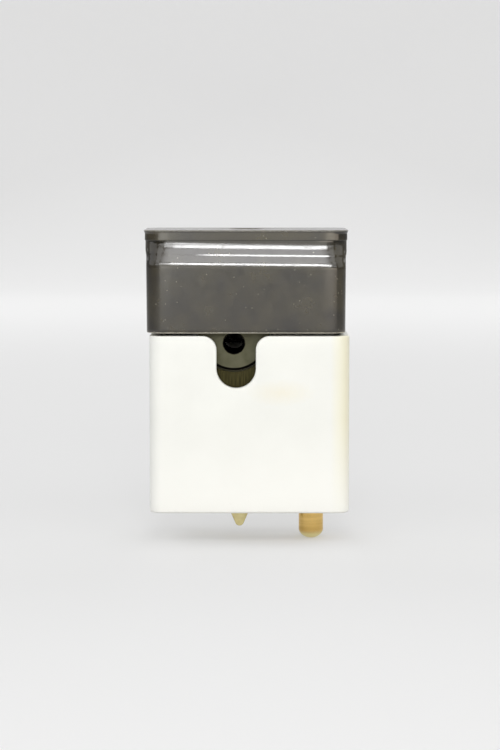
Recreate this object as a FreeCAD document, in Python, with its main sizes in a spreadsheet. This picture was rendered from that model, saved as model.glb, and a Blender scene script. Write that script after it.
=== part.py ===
import FreeCAD, Part
import math
import os
import re

import Sketcher

# A rewireable fuse carrier: ceramic fuse block in a moulded shell, under a captive moulded cap.
# Frame: +X to the right seen from the front, +Y to the back, +Z up, origin at the centre of the
# shell's underside. All sizes are in millimetres.

Vector = FreeCAD.Vector

# Driving dimensions
SIZES = {
    # Shell
    "body_width": 50.8,
    "body_depth": 25.0,
    "body_height": 45.15,
    "body_corner": 3.2,
    "body_edge": 0.7,
    "side_wall": 2.4,
    "face_wall": 2.2,
    "floor_thickness": 3.0,
    "notch_shift": 0.57,
    "notch_width": 9.94,
    "notch_drop": 13.18,
    "notch_lead": 3.56,
    # Ceramic block
    "block_gap": 0.3,
    "block_height": 13.0,
    "lobe_offset": 13.87,
    "lobe_rise": 0.1,
    "lobe_radius": 9.0,
    "lobe_setback": 3.2,
    "lobe_stand": 6.85,
    "sight_radius": 2.69,
    "sight_drop": 2.1,
    "tunnel_radius": 1.7,
    "ceramic_edge": 0.4,
    # Fibre pads and their rivets
    "pad_thickness": 1.1,
    "pad_gap": 0.45,
    "pad_drop": 6.75,
    "rivet_radius": 0.9,
    "rivet_head_radius": 1.6,
    "rivet_head_height": 0.6,
    "rivet_grip": 3.0,
    "rivet_spacing": 11.0,
    "rivet_rise": 6.0,
    # Cap
    "rim_gap": 0.7,
    "cap_shift": -0.85,
    "cap_height": 26.05,
    "cap_setback": 0.2,
    "cap_draft": 0.1,
    "head_flare": 0.3,
    "lip_flare": 0.35,
    "lip_band": 0.9,
    "cap_corner": 3.2,
    "cap_wall": 2.0,
    "cap_roof": 2.2,
    "lip_height": 2.6,
    "groove_foot": 9.1,
    "groove_depth": 2.1,
    "groove_corner": 5.3,
    "shoulder_height": 1.6,
    "shoulder_drop": 0.3,
    "cove_start": 3.4,
    "cove_height": 1.4,
    "cove_rise": 0.22,
    "hollow_step": 10.0,
    "rib_thickness": 1.6,
    "rib_drop": 9.4,
    # Cap fixing
    "cap_screw_shift": 3.08,
    "post_radius": 5.7,
    "cap_screw_radius": 2.3,
    "cap_bore_gap": 0.3,
    "cap_head_radius": 4.0,
    "cap_head_height": 2.4,
    "counterbore_gap": 0.5,
    "counterbore_depth": 3.9,
    "cap_washer_height": 0.8,
    "cap_washer_overhang": 0.25,
    "retainer_radius": 3.8,
    "retainer_height": 0.8,
    "retainer_gap": 0.3,
    "cap_screw_travel": 4.86,
    "insert_radius": 3.6,
    "insert_length": 4.8,
    "insert_tip_gap": 0.2,
    # Terminals
    "thread_gap": 0.05,
    "terminal_screw_radius": 1.75,
    "terminal_screw_length": 9.0,
    "terminal_head_radius": 3.0,
    "terminal_head_height": 2.2,
    "slot_width": 0.9,
    "slot_depth": 1.1,
    "screw_chamfer": 0.4,
    "head_gap": 0.05,
    "clamp_radius": 4.0,
    "clamp_height": 1.0,
    "clamp_hole_gap": 0.2,
    "clamp_gap": 0.15,
    "blade_terminal_inset": 4.9,
    "nut_width": 6.3,
    "nut_height": 3.0,
    "nut_gap": 0.1,
    # Contact pin
    "pin_inset": 6.76,
    "pin_radius": 3.175,
    "pin_reach": 8.08,
    "nose_flat": 0.005,
    "pin_shank_radius": 3.6,
    "pin_flange_radius": 5.0,
    "pin_flange_height": 2.0,
    "pin_thread_depth": 10.0,
    "pin_bore_gap": 0.1,
    "floor_hole_gap": 0.3,
    "ring_height": 0.8,
    "ring_radius": 5.2,
    "ring_groove_depth": 0.6,
    "ring_gap": 0.05,
    "ring_mouth": 3.0,
    "ring_recess_height": 1.6,
    "ring_recess_gap": 0.8,
    # Contact blade and its strap
    "blade_shift": 1.38,
    "blade_thickness": 4.8,
    "blade_width": 9.6,
    "blade_reach": 4.27,
    "blade_taper_start": 0.5,
    "blade_nose_width": 1.52,
    "blade_nose_radius": 1.08,
    "blade_flange_side": 1.8,
    "blade_flange_end": 1.4,
    "blade_flange_height": 1.6,
    "strap_thickness": 1.2,
    "strap_width": 7.0,
    "strap_tongue": 4.4,
    "strap_overlap": 3.2,
    "strap_channel_gap": 0.3,
    "blade_rivet_radius": 1.5,
    "blade_rivet_head_radius": 2.5,
    "blade_rivet_head_height": 1.0,
    "blade_rivet_depth": 4.8,
    # Fixing of the block to the shell
    "fixing_screw_radius": 1.35,
    "fixing_screw_length": 8.7,
    "fixing_head_radius": 2.7,
    "fixing_hole_gap": 0.15,
    "fixing_slot_width": 0.7,
    "fixing_slot_depth": 0.6,
    "fixing_insert_radius": 2.1,
    "fixing_insert_length": 6.0,
    "fixing_inset": 3.1,
    "fixing_left_shift": 8.07,
    "fixing_right_shift": 7.44,
    # Fuse wire
    "wire_radius": 0.425,
    "hook_gap": 0.2,
    "hook_sweep": 290.0,
    "wire_bend": 0.9,
    "wire_clearance": 0.75,
    "exit_run": 2.6,
    "exit_bend": 1.7,
    "foot_run": 5.2,
}

# Levels and faces worked out from the driving dimensions
INNER_HALF_WIDTH = "(body_width / 2 - side_wall)"
INNER_HALF_DEPTH = "(body_depth / 2 - face_wall)"
BLOCK_TOP = "(floor_thickness + block_height)"
BLOCK_RIGHT = f"({INNER_HALF_WIDTH} - block_gap)"
BLOCK_LEFT = f"(-{BLOCK_RIGHT} + strap_thickness + strap_channel_gap)"
BLADE_TERMINAL_X = f"(blade_terminal_inset - {BLOCK_RIGHT})"
PIN_X = f"({BLOCK_RIGHT} - pin_inset)"
LOBE_X = f"({BLADE_TERMINAL_X} + lobe_offset)"
LOBE_Z = "(body_height + lobe_rise)"
LOBE_TOP = "(body_height + lobe_stand)"
LOBE_HALF_DEPTH = "(body_depth / 2 - lobe_setback)"
CORE_HALF_DEPTH = f"({LOBE_HALF_DEPTH} - pad_thickness)"
LOBE_LEFT = f"({LOBE_X} - lobe_radius)"
LOBE_RIGHT = f"({LOBE_X} + lobe_radius)"
SIGHT_Z = f"({LOBE_Z} - sight_drop)"
NOTCH_X = f"({LOBE_X} + notch_shift)"
SEAT_TOP = f"({BLOCK_TOP} + strap_thickness)"
CLAMP_BOTTOM = f"({SEAT_TOP} + 2 * wire_radius + clamp_gap)"
HEAD_BOTTOM = f"({CLAMP_BOTTOM} + clamp_height + head_gap)"
TERMINAL_HOLE = "(terminal_screw_radius + thread_gap)"
CAP_BOTTOM = "(body_height + rim_gap)"
CAP_TOP = f"({CAP_BOTTOM} + cap_height)"
CAP_HALF_WIDTH = "(body_width / 2 - cap_setback)"
CAP_HALF_DEPTH = "(body_depth / 2 - cap_setback)"
HEAD_HALF_WIDTH = f"({CAP_HALF_WIDTH} + cap_draft + head_flare)"
HEAD_HALF_DEPTH = f"({CAP_HALF_DEPTH} + cap_draft + head_flare)"
GROOVE_HALF_DEPTH = f"({HEAD_HALF_DEPTH} - groove_depth)"
HOLLOW_TOP = f"({CAP_TOP} - cap_roof)"
HOLLOW_HALF_DEPTH = f"({GROOVE_HALF_DEPTH} - cap_wall)"
COUNTERBORE_FLOOR = f"({CAP_TOP} - counterbore_depth)"
CAP_HEAD_BOTTOM = f"({COUNTERBORE_FLOOR} + cap_washer_height + head_gap)"
CAP_SCREW_X = f"({LOBE_X} + cap_screw_shift)"
POST_X = f"({CAP_SCREW_X} - cap_shift)"
INSERT_BOTTOM = f"({LOBE_TOP} - insert_length)"
RETAINER_BOTTOM = f"({LOBE_TOP} + retainer_gap)"
RETAINER_RECESS = "(2 * retainer_gap + retainer_height + cap_screw_travel)"
BLADE_X = f"({LOBE_X} + blade_shift)"
BLADE_FLANGE_TOP = "(floor_thickness + blade_flange_height)"
STRAP_LOW_TOP = f"({BLADE_FLANGE_TOP} + strap_thickness)"
RIVET_HEAD_TOP = f"({STRAP_LOW_TOP} + blade_rivet_head_height)"
RING_RECESS_TOP = "(floor_thickness + ring_recess_height)"
RING_TOP = f"({RING_RECESS_TOP} - 2 * ring_gap)"
RING_BOTTOM = f"({RING_TOP} - ring_height)"
HOOK_RADIUS = "(terminal_screw_radius + hook_gap + wire_radius)"
WIRE_Z = f"({SEAT_TOP} + wire_radius)"
FIXING_Y = f"({INNER_HALF_DEPTH} - block_gap - fixing_inset)"

# How far two lengths may differ and be the same
ROUNDING = 1e-4

SHEET = "Dimensions"
ALIAS = re.compile(r"[a-z][a-z_]*[a-z]")


def linked(formula):
    """The formula with each size's name pointing at its cell of the sheet."""
    def cell(match):
        name = match.group(0)
        return f"{SHEET}.{name}" if name in SIZES else name
    return ALIAS.sub(cell, formula)


def bind(item, **formulas):
    """Bind an object's properties to formulas; two underscores in a name stand for a dot."""
    for name, formula in formulas.items():
        item.setExpression(name.replace("__", "."), linked(formula))


def place(item, x=None, y=None, z=None):
    """Bind the given coordinates of an object's placement."""
    for axis, formula in (("x", x), ("y", y), ("z", z)):
        if formula is not None:
            item.setExpression(f"Placement.Base.{axis}", linked(formula))


def make_sheet(doc):
    """Make the sheet of driving dimensions: name, value and alias on each row."""
    sheet = doc.addObject("Spreadsheet::Sheet", SHEET)
    for row, (name, size) in enumerate(SIZES.items(), start=1):
        sheet.set(f"A{row}", name)
        sheet.set(f"B{row}", str(size))
        sheet.setAlias(f"B{row}", name)
    doc.recompute()


def make_body(doc, label):
    """An empty body whose label is the piece's name."""
    body = doc.addObject("PartDesign::Body", label)
    body.Label = label
    return body


def attached_sketch(body, name, role, offset=None):
    """A sketch on one of the body's origin planes, moved along the plane's normal."""
    sketch = body.newObject("Sketcher::SketchObject", name)
    planes = [item for item in body.Origin.OriginFeatures if item.Role == role]
    sketch.AttachmentSupport = [(planes[0], "")]
    sketch.MapMode = "FlatFace"
    if offset is not None:
        sketch.setExpression("AttachmentOffset.Base.z", linked(offset))
    return sketch


def constrain(sketch, formula, *terms):
    """Add one dimensional constraint and bind it to a formula."""
    index = sketch.addConstraint(Sketcher.Constraint(*terms))
    sketch.setExpression(f"Constraints[{index}]", linked(formula))


def polygon(body, name, role, corners, offset=None):
    """A closed outline of straight lines whose corners are bound to pairs of formulas."""
    sketch = attached_sketch(body, name, role, offset)
    count = len(corners)
    turns = [2 * math.pi * index / count for index in range(count)]
    drawn = [Vector(math.cos(turn), math.sin(turn), 0) for turn in turns]
    for index, start in enumerate(drawn):
        sketch.addGeometry(Part.LineSegment(start, drawn[(index + 1) % count]))
    for index in range(count):
        sketch.addConstraint(Sketcher.Constraint("Coincident", index, 2, (index + 1) % count, 1))
    for index, (across, up) in enumerate(corners):
        constrain(sketch, across, "DistanceX", -1, 1, index, 1, drawn[index].x)
        constrain(sketch, up, "DistanceY", -1, 1, index, 1, drawn[index].y)
    return sketch


def rectangle(body, name, role, low, high, offset=None):
    """A rectangle from its low corner to its high corner."""
    corners = (low, (high[0], low[1]), high, (low[0], high[1]))
    return polygon(body, name, role, corners, offset)


def circle(body, name, role, centre, radius, offset=None):
    """A circle bound to its centre and radius."""
    sketch = attached_sketch(body, name, role, offset)
    sketch.addGeometry(Part.Circle(Vector(1, 1, 0), Vector(0, 0, 1), 1))
    constrain(sketch, centre[0], "DistanceX", -1, 1, 0, 3, 1)
    constrain(sketch, centre[1], "DistanceY", -1, 1, 0, 3, 1)
    constrain(sketch, radius, "Radius", 0, 1)
    return sketch


def rounded_rectangle(body, name, half_width, half_depth, radius, offset):
    """A rectangle with round corners about the body's own axis."""
    sketch = attached_sketch(body, name, "XY_Plane", offset)
    wide, deep, round_ = 20.0, 12.0, 3.0
    sides = (((-wide + round_, -deep), (wide - round_, -deep)),
             ((wide, -deep + round_), (wide, deep - round_)),
             ((wide - round_, deep), (-wide + round_, deep)),
             ((-wide, deep - round_), (-wide, -deep + round_)))
    corners = ((1, -1), (1, 1), (-1, 1), (-1, -1))
    for index, ((start, end), (right, back)) in enumerate(zip(sides, corners)):
        centre = Vector(right * (wide - round_), back * (deep - round_), 0)
        turn = (index - 1) * math.pi / 2
        sketch.addGeometry(Part.LineSegment(Vector(*start, 0), Vector(*end, 0)))
        corner = Part.Circle(centre, Vector(0, 0, 1), round_)
        sketch.addGeometry(Part.ArcOfCircle(corner, turn, turn + math.pi / 2))
    for index in range(8):
        sketch.addConstraint(Sketcher.Constraint("Tangent", index, 2, (index + 1) % 8, 1))
    for index in (0, 4):
        sketch.addConstraint(Sketcher.Constraint("Horizontal", index))
        sketch.addConstraint(Sketcher.Constraint("Vertical", index + 2))
    for index in (3, 5, 7):
        sketch.addConstraint(Sketcher.Constraint("Equal", 1, index))
    constrain(sketch, radius, "Radius", 1, round_)
    constrain(sketch, f"-{half_depth}", "DistanceY", -1, 1, 0, 1, -deep)
    constrain(sketch, half_width, "DistanceX", -1, 1, 2, 1, wide)
    constrain(sketch, half_depth, "DistanceY", -1, 1, 4, 1, deep)
    constrain(sketch, f"-{half_width}", "DistanceX", -1, 1, 6, 1, -wide)
    return sketch


def round_bottomed(body, name, centre, radius, top):
    """An upright outline seen from the front: a half circle below, straight sides and a flat top."""
    sketch = attached_sketch(body, name, "XZ_Plane")
    drawn, tall = 5.0, 10.0
    half_circle = Part.Circle(Vector(0, 0, 0), Vector(0, 0, 1), drawn)
    sketch.addGeometry(Part.ArcOfCircle(half_circle, math.pi, 2 * math.pi))
    sketch.addGeometry(Part.LineSegment(Vector(drawn, 0, 0), Vector(drawn, tall, 0)))
    sketch.addGeometry(Part.LineSegment(Vector(drawn, tall, 0), Vector(-drawn, tall, 0)))
    sketch.addGeometry(Part.LineSegment(Vector(-drawn, tall, 0), Vector(-drawn, 0, 0)))
    sketch.addConstraint(Sketcher.Constraint("Tangent", 0, 2, 1, 1))
    sketch.addConstraint(Sketcher.Constraint("Coincident", 1, 2, 2, 1))
    sketch.addConstraint(Sketcher.Constraint("Coincident", 2, 2, 3, 1))
    sketch.addConstraint(Sketcher.Constraint("Tangent", 3, 2, 0, 1))
    sketch.addConstraint(Sketcher.Constraint("Vertical", 1))
    sketch.addConstraint(Sketcher.Constraint("Horizontal", 2))
    sketch.addConstraint(Sketcher.Constraint("Vertical", 3))
    constrain(sketch, radius, "Radius", 0, drawn)
    constrain(sketch, centre[0], "DistanceX", -1, 1, 0, 3, 0)
    constrain(sketch, centre[1], "DistanceY", -1, 1, 0, 3, 0)
    constrain(sketch, top, "DistanceY", -1, 1, 2, 1, tall)
    return sketch


def pad(body, sketch, length, both_ways=False):
    """Add the sketch's outline, drawn out along its normal or half to each side of it."""
    feature = body.newObject("PartDesign::Pad", sketch.Name + "_pad")
    feature.Profile = sketch
    feature.Midplane = both_ways
    bind(feature, Length=length)
    sketch.Visibility = False
    return feature


def pocket(body, sketch, length, both_ways=False, forwards=False):
    """Cut the sketch's outline out, against its normal, along it, or half to each side."""
    feature = body.newObject("PartDesign::Pocket", sketch.Name + "_pocket")
    feature.Profile = sketch
    feature.Midplane = both_ways
    feature.Reversed = forwards
    bind(feature, Length=length)
    sketch.Visibility = False
    return feature


def turned(body, sketch):
    """Revolve the sketch's outline a whole turn about the body's vertical axis."""
    feature = body.newObject("PartDesign::Revolution", sketch.Name + "_turned")
    feature.Profile = sketch
    feature.ReferenceAxis = (sketch, ["V_Axis"])
    feature.Angle = 360.0
    sketch.Visibility = False
    return feature


def drill(body, name, radius, length, x="0", y="0", z="0"):
    """Bore an upright hole from a point upwards."""
    feature = body.newObject("PartDesign::SubtractiveCylinder", name)
    bind(feature, Radius=radius, Height=length)
    place(feature, x, y, z)
    return feature


def post(body, name, radius, length, x="0", y="0", z="0"):
    """Add an upright round post from a point upwards."""
    feature = body.newObject("PartDesign::AdditiveCylinder", name)
    bind(feature, Radius=radius, Height=length)
    place(feature, x, y, z)
    return feature


def round_edges(body, name, radius, wanted):
    """Round the edges of the body that a test picks."""
    body.Document.recompute()
    base = body.Tip
    picked = [f"Edge{number}" for number, edge in enumerate(base.Shape.Edges, start=1) if wanted(edge)]
    if not picked:
        raise RuntimeError(f"{body.Label}: no edge found for {name}")
    feature = body.newObject("PartDesign::Fillet", name)
    feature.Base = (base, picked)
    bind(feature, Radius=radius)
    return feature


def length(doc, formula):
    """The length that a formula gives, read from a marker point bound to it."""
    marker = doc.getObject("Marker") or doc.addObject("Part::Vertex", "Marker")
    bind(marker, X=formula)
    marker.recompute()
    return marker.X.Value


def near(first, second):
    """Whether two lengths are the same but for rounding."""
    return abs(first - second) < ROUNDING


def upright(edge):
    """Whether an edge is a straight line along Z."""
    box = edge.BoundBox
    return near(box.XLength, 0) and near(box.YLength, 0)


def level(edge, height):
    """Whether an edge lies all at one height."""
    box = edge.BoundBox
    return near(box.ZMin, height) and near(box.ZMax, height)


def make_shell(doc):
    """The moulded shell: an open box with a round-bottomed sight notch in its front."""
    body = make_body(doc, "body_shell")
    outer = rounded_rectangle(body, "shell_outline", "(body_width / 2)", "(body_depth / 2)",
                              "body_corner", "0")
    pad(body, outer, "body_height")
    round_edges(body, "shell_bottom_edge", "body_edge", lambda edge: level(edge, 0))
    inner = rounded_rectangle(body, "shell_hollow", INNER_HALF_WIDTH, INNER_HALF_DEPTH,
                              "(body_corner - face_wall)", "floor_thickness")
    pocket(body, inner, "body_height", forwards=True)
    half = "notch_width / 2"
    notch = round_bottomed(body, "notch", (NOTCH_X, f"body_height - notch_drop + {half}"), half,
                           "body_height + rim_gap")
    pocket(body, notch, "body_depth", forwards=True)
    rim = length(doc, "body_height")
    lead = length(doc, NOTCH_X)
    reach = length(doc, half)

    def notch_mouth(edge):
        box = edge.BoundBox
        return level(edge, rim) and near(box.XLength, 0) and near(abs(box.XMin - lead), reach)

    round_edges(body, "notch_lead_in", "notch_lead", notch_mouth)
    drill(body, "pin_hole", "pin_shank_radius + floor_hole_gap", "floor_thickness", x=PIN_X)
    blade_slot = rectangle(body, "blade_slot", "XY_Plane",
                           (f"{BLADE_X} - blade_thickness / 2 - floor_hole_gap",
                            "-blade_width / 2 - floor_hole_gap"),
                           (f"{BLADE_X} + blade_thickness / 2 + floor_hole_gap",
                            "blade_width / 2 + floor_hole_gap"))
    pocket(body, blade_slot, "floor_thickness", forwards=True)
    for side, x, y in fixings():
        drill(body, f"fixing_hole_{side}", "fixing_screw_radius + fixing_hole_gap", "floor_thickness", x, y)
        sink = body.newObject("PartDesign::SubtractiveCone", f"fixing_sink_{side}")
        bind(sink, Radius1="fixing_head_radius + fixing_hole_gap",
             Radius2="fixing_screw_radius + fixing_hole_gap",
             Height="fixing_head_radius - fixing_screw_radius")
        place(sink, x, y, "0")
    return body


def fixings():
    """Side name, x and y of the two screws that hold the block to the shell."""
    return (("left", f"{LOBE_X} - fixing_left_shift", FIXING_Y),
            ("right", f"{PIN_X} - fixing_right_shift", f"-{FIXING_Y}"))


def make_block(doc):
    """The ceramic block: a base across the shell, a pylon over it and the round-bottomed lobe."""
    body = make_body(doc, "fuse_block")
    base = rectangle(body, "block_base", "XY_Plane",
                     (BLOCK_LEFT, f"-{INNER_HALF_DEPTH} + block_gap"),
                     (BLOCK_RIGHT, f"{INNER_HALF_DEPTH} - block_gap"), offset="floor_thickness")
    pad(body, base, "block_height")
    ends = "body_corner - face_wall + block_gap"
    round_edges(body, "block_corners", ends, upright)
    core = rectangle(body, "pylon_core", "XZ_Plane", (LOBE_LEFT, BLOCK_TOP), (LOBE_RIGHT, LOBE_Z))
    pad(body, core, f"2 * {CORE_HALF_DEPTH}", both_ways=True)
    lobe = round_bottomed(body, "lobe", (LOBE_X, LOBE_Z), "lobe_radius", LOBE_TOP)
    pad(body, lobe, f"2 * {LOBE_HALF_DEPTH}", both_ways=True)
    top = length(doc, LOBE_TOP)
    round_edges(body, "lobe_top_edge", "ceramic_edge", lambda edge: level(edge, top))
    sight = circle(body, "sight_hole", "XZ_Plane", (LOBE_X, SIGHT_Z), "sight_radius")
    pocket(body, sight, "2 * body_depth", both_ways=True)
    tunnel = circle(body, "wire_tunnel", "YZ_Plane", ("0", SIGHT_Z), "tunnel_radius")
    pocket(body, tunnel, "2 * body_width", both_ways=True)
    drill(body, "insert_seat", "insert_radius", "insert_length", x=CAP_SCREW_X, z=INSERT_BOTTOM)
    cut_pin_seat(body)
    cut_blade_seat(body)
    cut_terminal_seat(body)
    for side, x, y in fixings():
        drill(body, f"fixing_seat_{side}", "fixing_insert_radius", "fixing_insert_length + block_gap",
              x, y, "floor_thickness")
    return body


def cut_pin_seat(body):
    """The block's bore for the pin, with a seat for its flange and a recess for its ring."""
    drill(body, "pin_bore", "pin_shank_radius + pin_bore_gap", "2 * block_height", x=PIN_X)
    drill(body, "pin_flange_seat", "pin_flange_radius + pin_bore_gap", "block_height", x=PIN_X,
          z=f"{SEAT_TOP} - pin_flange_height")
    drill(body, "ring_recess", "ring_radius + ring_recess_gap", "ring_recess_height", x=PIN_X,
          z="floor_thickness")


def cut_blade_seat(body):
    """The recess under the block for the blade's flange and rivet, and the channel for its strap."""
    flange_side = "(blade_thickness / 2 + blade_flange_side + strap_channel_gap)"
    flange_end = "(blade_width / 2 + blade_flange_end + strap_channel_gap)"
    recess = rectangle(body, "blade_recess", "XY_Plane",
                       (f"{BLADE_X} - {flange_side}", f"-{flange_end}"),
                       (f"{BLADE_X} + {flange_side}", flange_end), offset="floor_thickness")
    pocket(body, recess, f"{RIVET_HEAD_TOP} + strap_channel_gap - floor_thickness", forwards=True)
    channel = rectangle(body, "strap_channel", "XY_Plane",
                        ("-body_width", "-strap_width / 2 - strap_channel_gap"),
                        (BLADE_X, "strap_width / 2 + strap_channel_gap"), offset="floor_thickness")
    pocket(body, channel, f"{STRAP_LOW_TOP} + strap_channel_gap - floor_thickness", forwards=True)


def cut_terminal_seat(body):
    """The pocket that stops the blade terminal's nut from turning, and room for the screw's end."""
    half = "(nut_width / 2 + nut_gap)"
    seat = rectangle(body, "nut_pocket", "XY_Plane",
                     (f"{BLADE_TERMINAL_X} - {half}", f"-{half}"),
                     (f"{BLADE_TERMINAL_X} + {half}", half), offset=f"{BLOCK_TOP} - nut_height - nut_gap")
    pocket(body, seat, "block_height", forwards=True)
    drill(body, "screw_end_room", f"{TERMINAL_HOLE} + pin_bore_gap",
          f"terminal_screw_length - ({HEAD_BOTTOM} - {BLOCK_TOP}) + block_gap", x=BLADE_TERMINAL_X,
          z=f"{HEAD_BOTTOM} - terminal_screw_length - block_gap")


def make_arc_pad(doc, label, front):
    """A fibre pad on the pylon's front or back, hollowed on top round the lobe."""
    body = make_body(doc, label)
    outline = rectangle(body, label + "_outline", "XZ_Plane", (LOBE_LEFT, BLOCK_TOP),
                        (LOBE_RIGHT, f"{LOBE_Z} - pad_drop"))
    pad(body, outline, "pad_thickness")
    hollow = circle(body, label + "_hollow", "XZ_Plane", (LOBE_X, LOBE_Z),
                    "lobe_radius + pad_gap")
    pocket(body, hollow, "body_depth", both_ways=True)
    for side, sign in (("left", "-"), ("right", "+")):
        hole = circle(body, f"{label}_hole_{side}", "XZ_Plane",
                      (f"{LOBE_X} {sign} rivet_spacing / 2", f"{BLOCK_TOP} + rivet_rise"),
                      "rivet_radius")
        pocket(body, hole, "body_depth", both_ways=True)
    place(body, y=f"-{CORE_HALF_DEPTH}" if front else f"{CORE_HALF_DEPTH} + pad_thickness")
    return body


def cylinder(doc, name, radius, height, angle=0, axis=(1, 0, 0)):
    """A cylinder primitive turned about an axis."""
    item = doc.addObject("Part::Cylinder", name)
    bind(item, Radius=radius, Height=height)
    item.Placement.Rotation = FreeCAD.Rotation(Vector(*axis), angle)
    return item


def make_pad_rivets(doc, block):
    """Four rivets through the pads into the pylon, whose holes are cut from the block."""
    rivets = []
    for face, sign, angle in (("front", "-", -90), ("rear", "", 90)):
        for side, shift in (("left", "-"), ("right", "+")):
            name = f"rivet_{face}_{side}"
            x = f"{LOBE_X} {shift} rivet_spacing / 2"
            z = f"{BLOCK_TOP} + rivet_rise"
            shank = cylinder(doc, name + "_shank", "rivet_radius", "rivet_grip + pad_thickness", angle)
            place(shank, x, f"{sign}{LOBE_HALF_DEPTH}", z)
            head = cylinder(doc, name + "_head", "rivet_head_radius", "rivet_head_height", angle)
            place(head, x, f"{sign}({LOBE_HALF_DEPTH} + rivet_head_height)", z)
            doc.recompute()
            whole = doc.addObject("Part::Fuse", name)
            whole.Base = head
            whole.Tool = shank
            rivets.append(whole)
            hole = circle(block, name + "_hole", "XZ_Plane", (x, z), "rivet_radius")
            drilled = pocket(block, hole, f"{CORE_HALF_DEPTH}", forwards=face == "front")
            drilled.Type = "Length"
            hole.setExpression("AttachmentOffset.Base.z", linked(
                f"{CORE_HALF_DEPTH} - rivet_grip" if face == "front" else f"rivet_grip - {CORE_HALF_DEPTH}"))
    group = doc.addObject("Part::Compound", "pad_rivets")
    group.Links = rivets
    group.Label = "pad_rivets"
    return group


def make_cap(doc):
    """The moulded cap: a hollow grip, narrow at its head under a flared lip, with a screw post."""
    body = make_body(doc, "cap")
    flat_width = f"({CAP_HALF_WIDTH} + cap_draft)"
    flat_depth = f"({CAP_HALF_DEPTH} + cap_draft)"
    foot = f"{CAP_TOP} - groove_foot"
    root = f"{CAP_TOP} - cove_start"
    lip = f"{CAP_TOP} - lip_height"
    ruled_loft(body, "cap_wall_and_groove", (
        (CAP_HALF_WIDTH, CAP_HALF_DEPTH, "cap_corner", CAP_BOTTOM),
        (flat_width, flat_depth, "cap_corner", foot),
        (flat_width, f"({flat_depth} - shoulder_drop)", "(cap_corner + shoulder_drop)",
         f"{foot} + shoulder_height"),
        (HEAD_HALF_WIDTH, f"({GROOVE_HALF_DEPTH} + cove_rise)", "(groove_corner - cove_rise)",
         f"{root} - cove_height"),
        (HEAD_HALF_WIDTH, GROOVE_HALF_DEPTH, "groove_corner", root),
        (HEAD_HALF_WIDTH, GROOVE_HALF_DEPTH, "groove_corner", lip)))
    ruled_loft(body, "cap_lip", (
        (HEAD_HALF_WIDTH, HEAD_HALF_DEPTH, "cap_corner", lip),
        (HEAD_HALF_WIDTH, HEAD_HALF_DEPTH, "cap_corner", f"{CAP_TOP} - lip_band"),
        (f"({HEAD_HALF_WIDTH} + lip_flare)", f"({HEAD_HALF_DEPTH} + lip_flare)", "cap_corner", CAP_TOP)))
    hollow_cap(body)
    post(body, "screw_post", "post_radius", f"{HOLLOW_TOP} - {LOBE_TOP} + cap_roof / 2", x=POST_X, z=LOBE_TOP)
    add_ribs(body)
    drill(body, "cap_bore", "cap_screw_radius + cap_bore_gap", "2 * cap_height", x=POST_X, z=LOBE_TOP)
    drill(body, "counterbore", "cap_head_radius + counterbore_gap", "cap_height", x=POST_X,
          z=COUNTERBORE_FLOOR)
    drill(body, "retainer_recess", "retainer_radius + retainer_gap", RETAINER_RECESS, x=POST_X,
          z=LOBE_TOP)
    place(body, x="cap_shift")
    return body


def ruled_loft(body, name, sections):
    """Join rounded rectangles, each given by half its width and depth, its corner and its height."""
    outlines = [rounded_rectangle(body, f"{name}_section_{index}", *section)
                for index, section in enumerate(sections)]
    loft = body.newObject("PartDesign::AdditiveLoft", name)
    loft.Profile = outlines[0]
    loft.Sections = outlines[1:]
    loft.Ruled = True
    return loft


def hollow_cap(body):
    """The cap's hollow, narrower beside the groove so that the wall keeps its thickness."""
    wide = f"({CAP_HALF_WIDTH} - cap_wall)"
    low = rounded_rectangle(body, "cap_hollow", wide, f"({CAP_HALF_DEPTH} - cap_wall)",
                            "(cap_corner - cap_wall)", CAP_BOTTOM)
    pocket(body, low, "cap_height - hollow_step", forwards=True)
    high = rounded_rectangle(body, "cap_hollow_head", wide, HOLLOW_HALF_DEPTH,
                             "(groove_corner - cap_wall)", CAP_BOTTOM)
    pocket(body, high, "cap_height - cap_roof", forwards=True)


def add_ribs(body):
    """Two crossed ribs under the cap's roof, through the screw post."""
    half = "rib_thickness / 2"
    reach = f"({CAP_HALF_WIDTH} - cap_wall / 2)"
    rise = "rib_drop - cap_roof / 2"
    bottom = f"{CAP_TOP} - rib_drop"
    long_rib = rectangle(body, "long_rib", "XY_Plane", (f"-{reach}", f"-{half}"), (reach, half), bottom)
    pad(body, long_rib, rise)
    deep = f"({HOLLOW_HALF_DEPTH} + cap_wall / 2)"
    cross_rib = rectangle(body, "cross_rib", "XY_Plane", (f"{POST_X} - {half}", f"-{deep}"),
                          (f"{POST_X} + {half}", deep), bottom)
    pad(body, cross_rib, rise)


def make_screw(doc, label, radius, reach, head_radius, head_height, x, z):
    """A slotted cheese-head screw, with its own origin on its axis under the head."""
    body = make_body(doc, label)
    profile = polygon(body, label + "_profile", "XZ_Plane",
                      (("0", head_height), (f"{head_radius} - screw_chamfer", head_height),
                       (head_radius, f"{head_height} - screw_chamfer"), (head_radius, "0"),
                       (radius, "0"), (radius, f"-({reach}) + screw_chamfer"),
                       (f"{radius} - screw_chamfer", f"-({reach})"), ("0", f"-({reach})")))
    turned(body, profile)
    slot = rectangle(body, label + "_slot", "XY_Plane",
                     (f"-2 * {head_radius}", "-slot_width / 2"), (f"2 * {head_radius}", "slot_width / 2"),
                     offset=head_height)
    pocket(body, slot, "slot_depth")
    place(body, x=x, z=z)
    return body


def make_washer(doc, label, radius, hole, height, x, z):
    """A flat round washer."""
    body = make_body(doc, label)
    pad(body, circle(body, label + "_disc", "XY_Plane", ("0", "0"), radius), height)
    drill(body, label + "_hole", hole, height)
    place(body, x=x, z=z)
    return body


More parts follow.
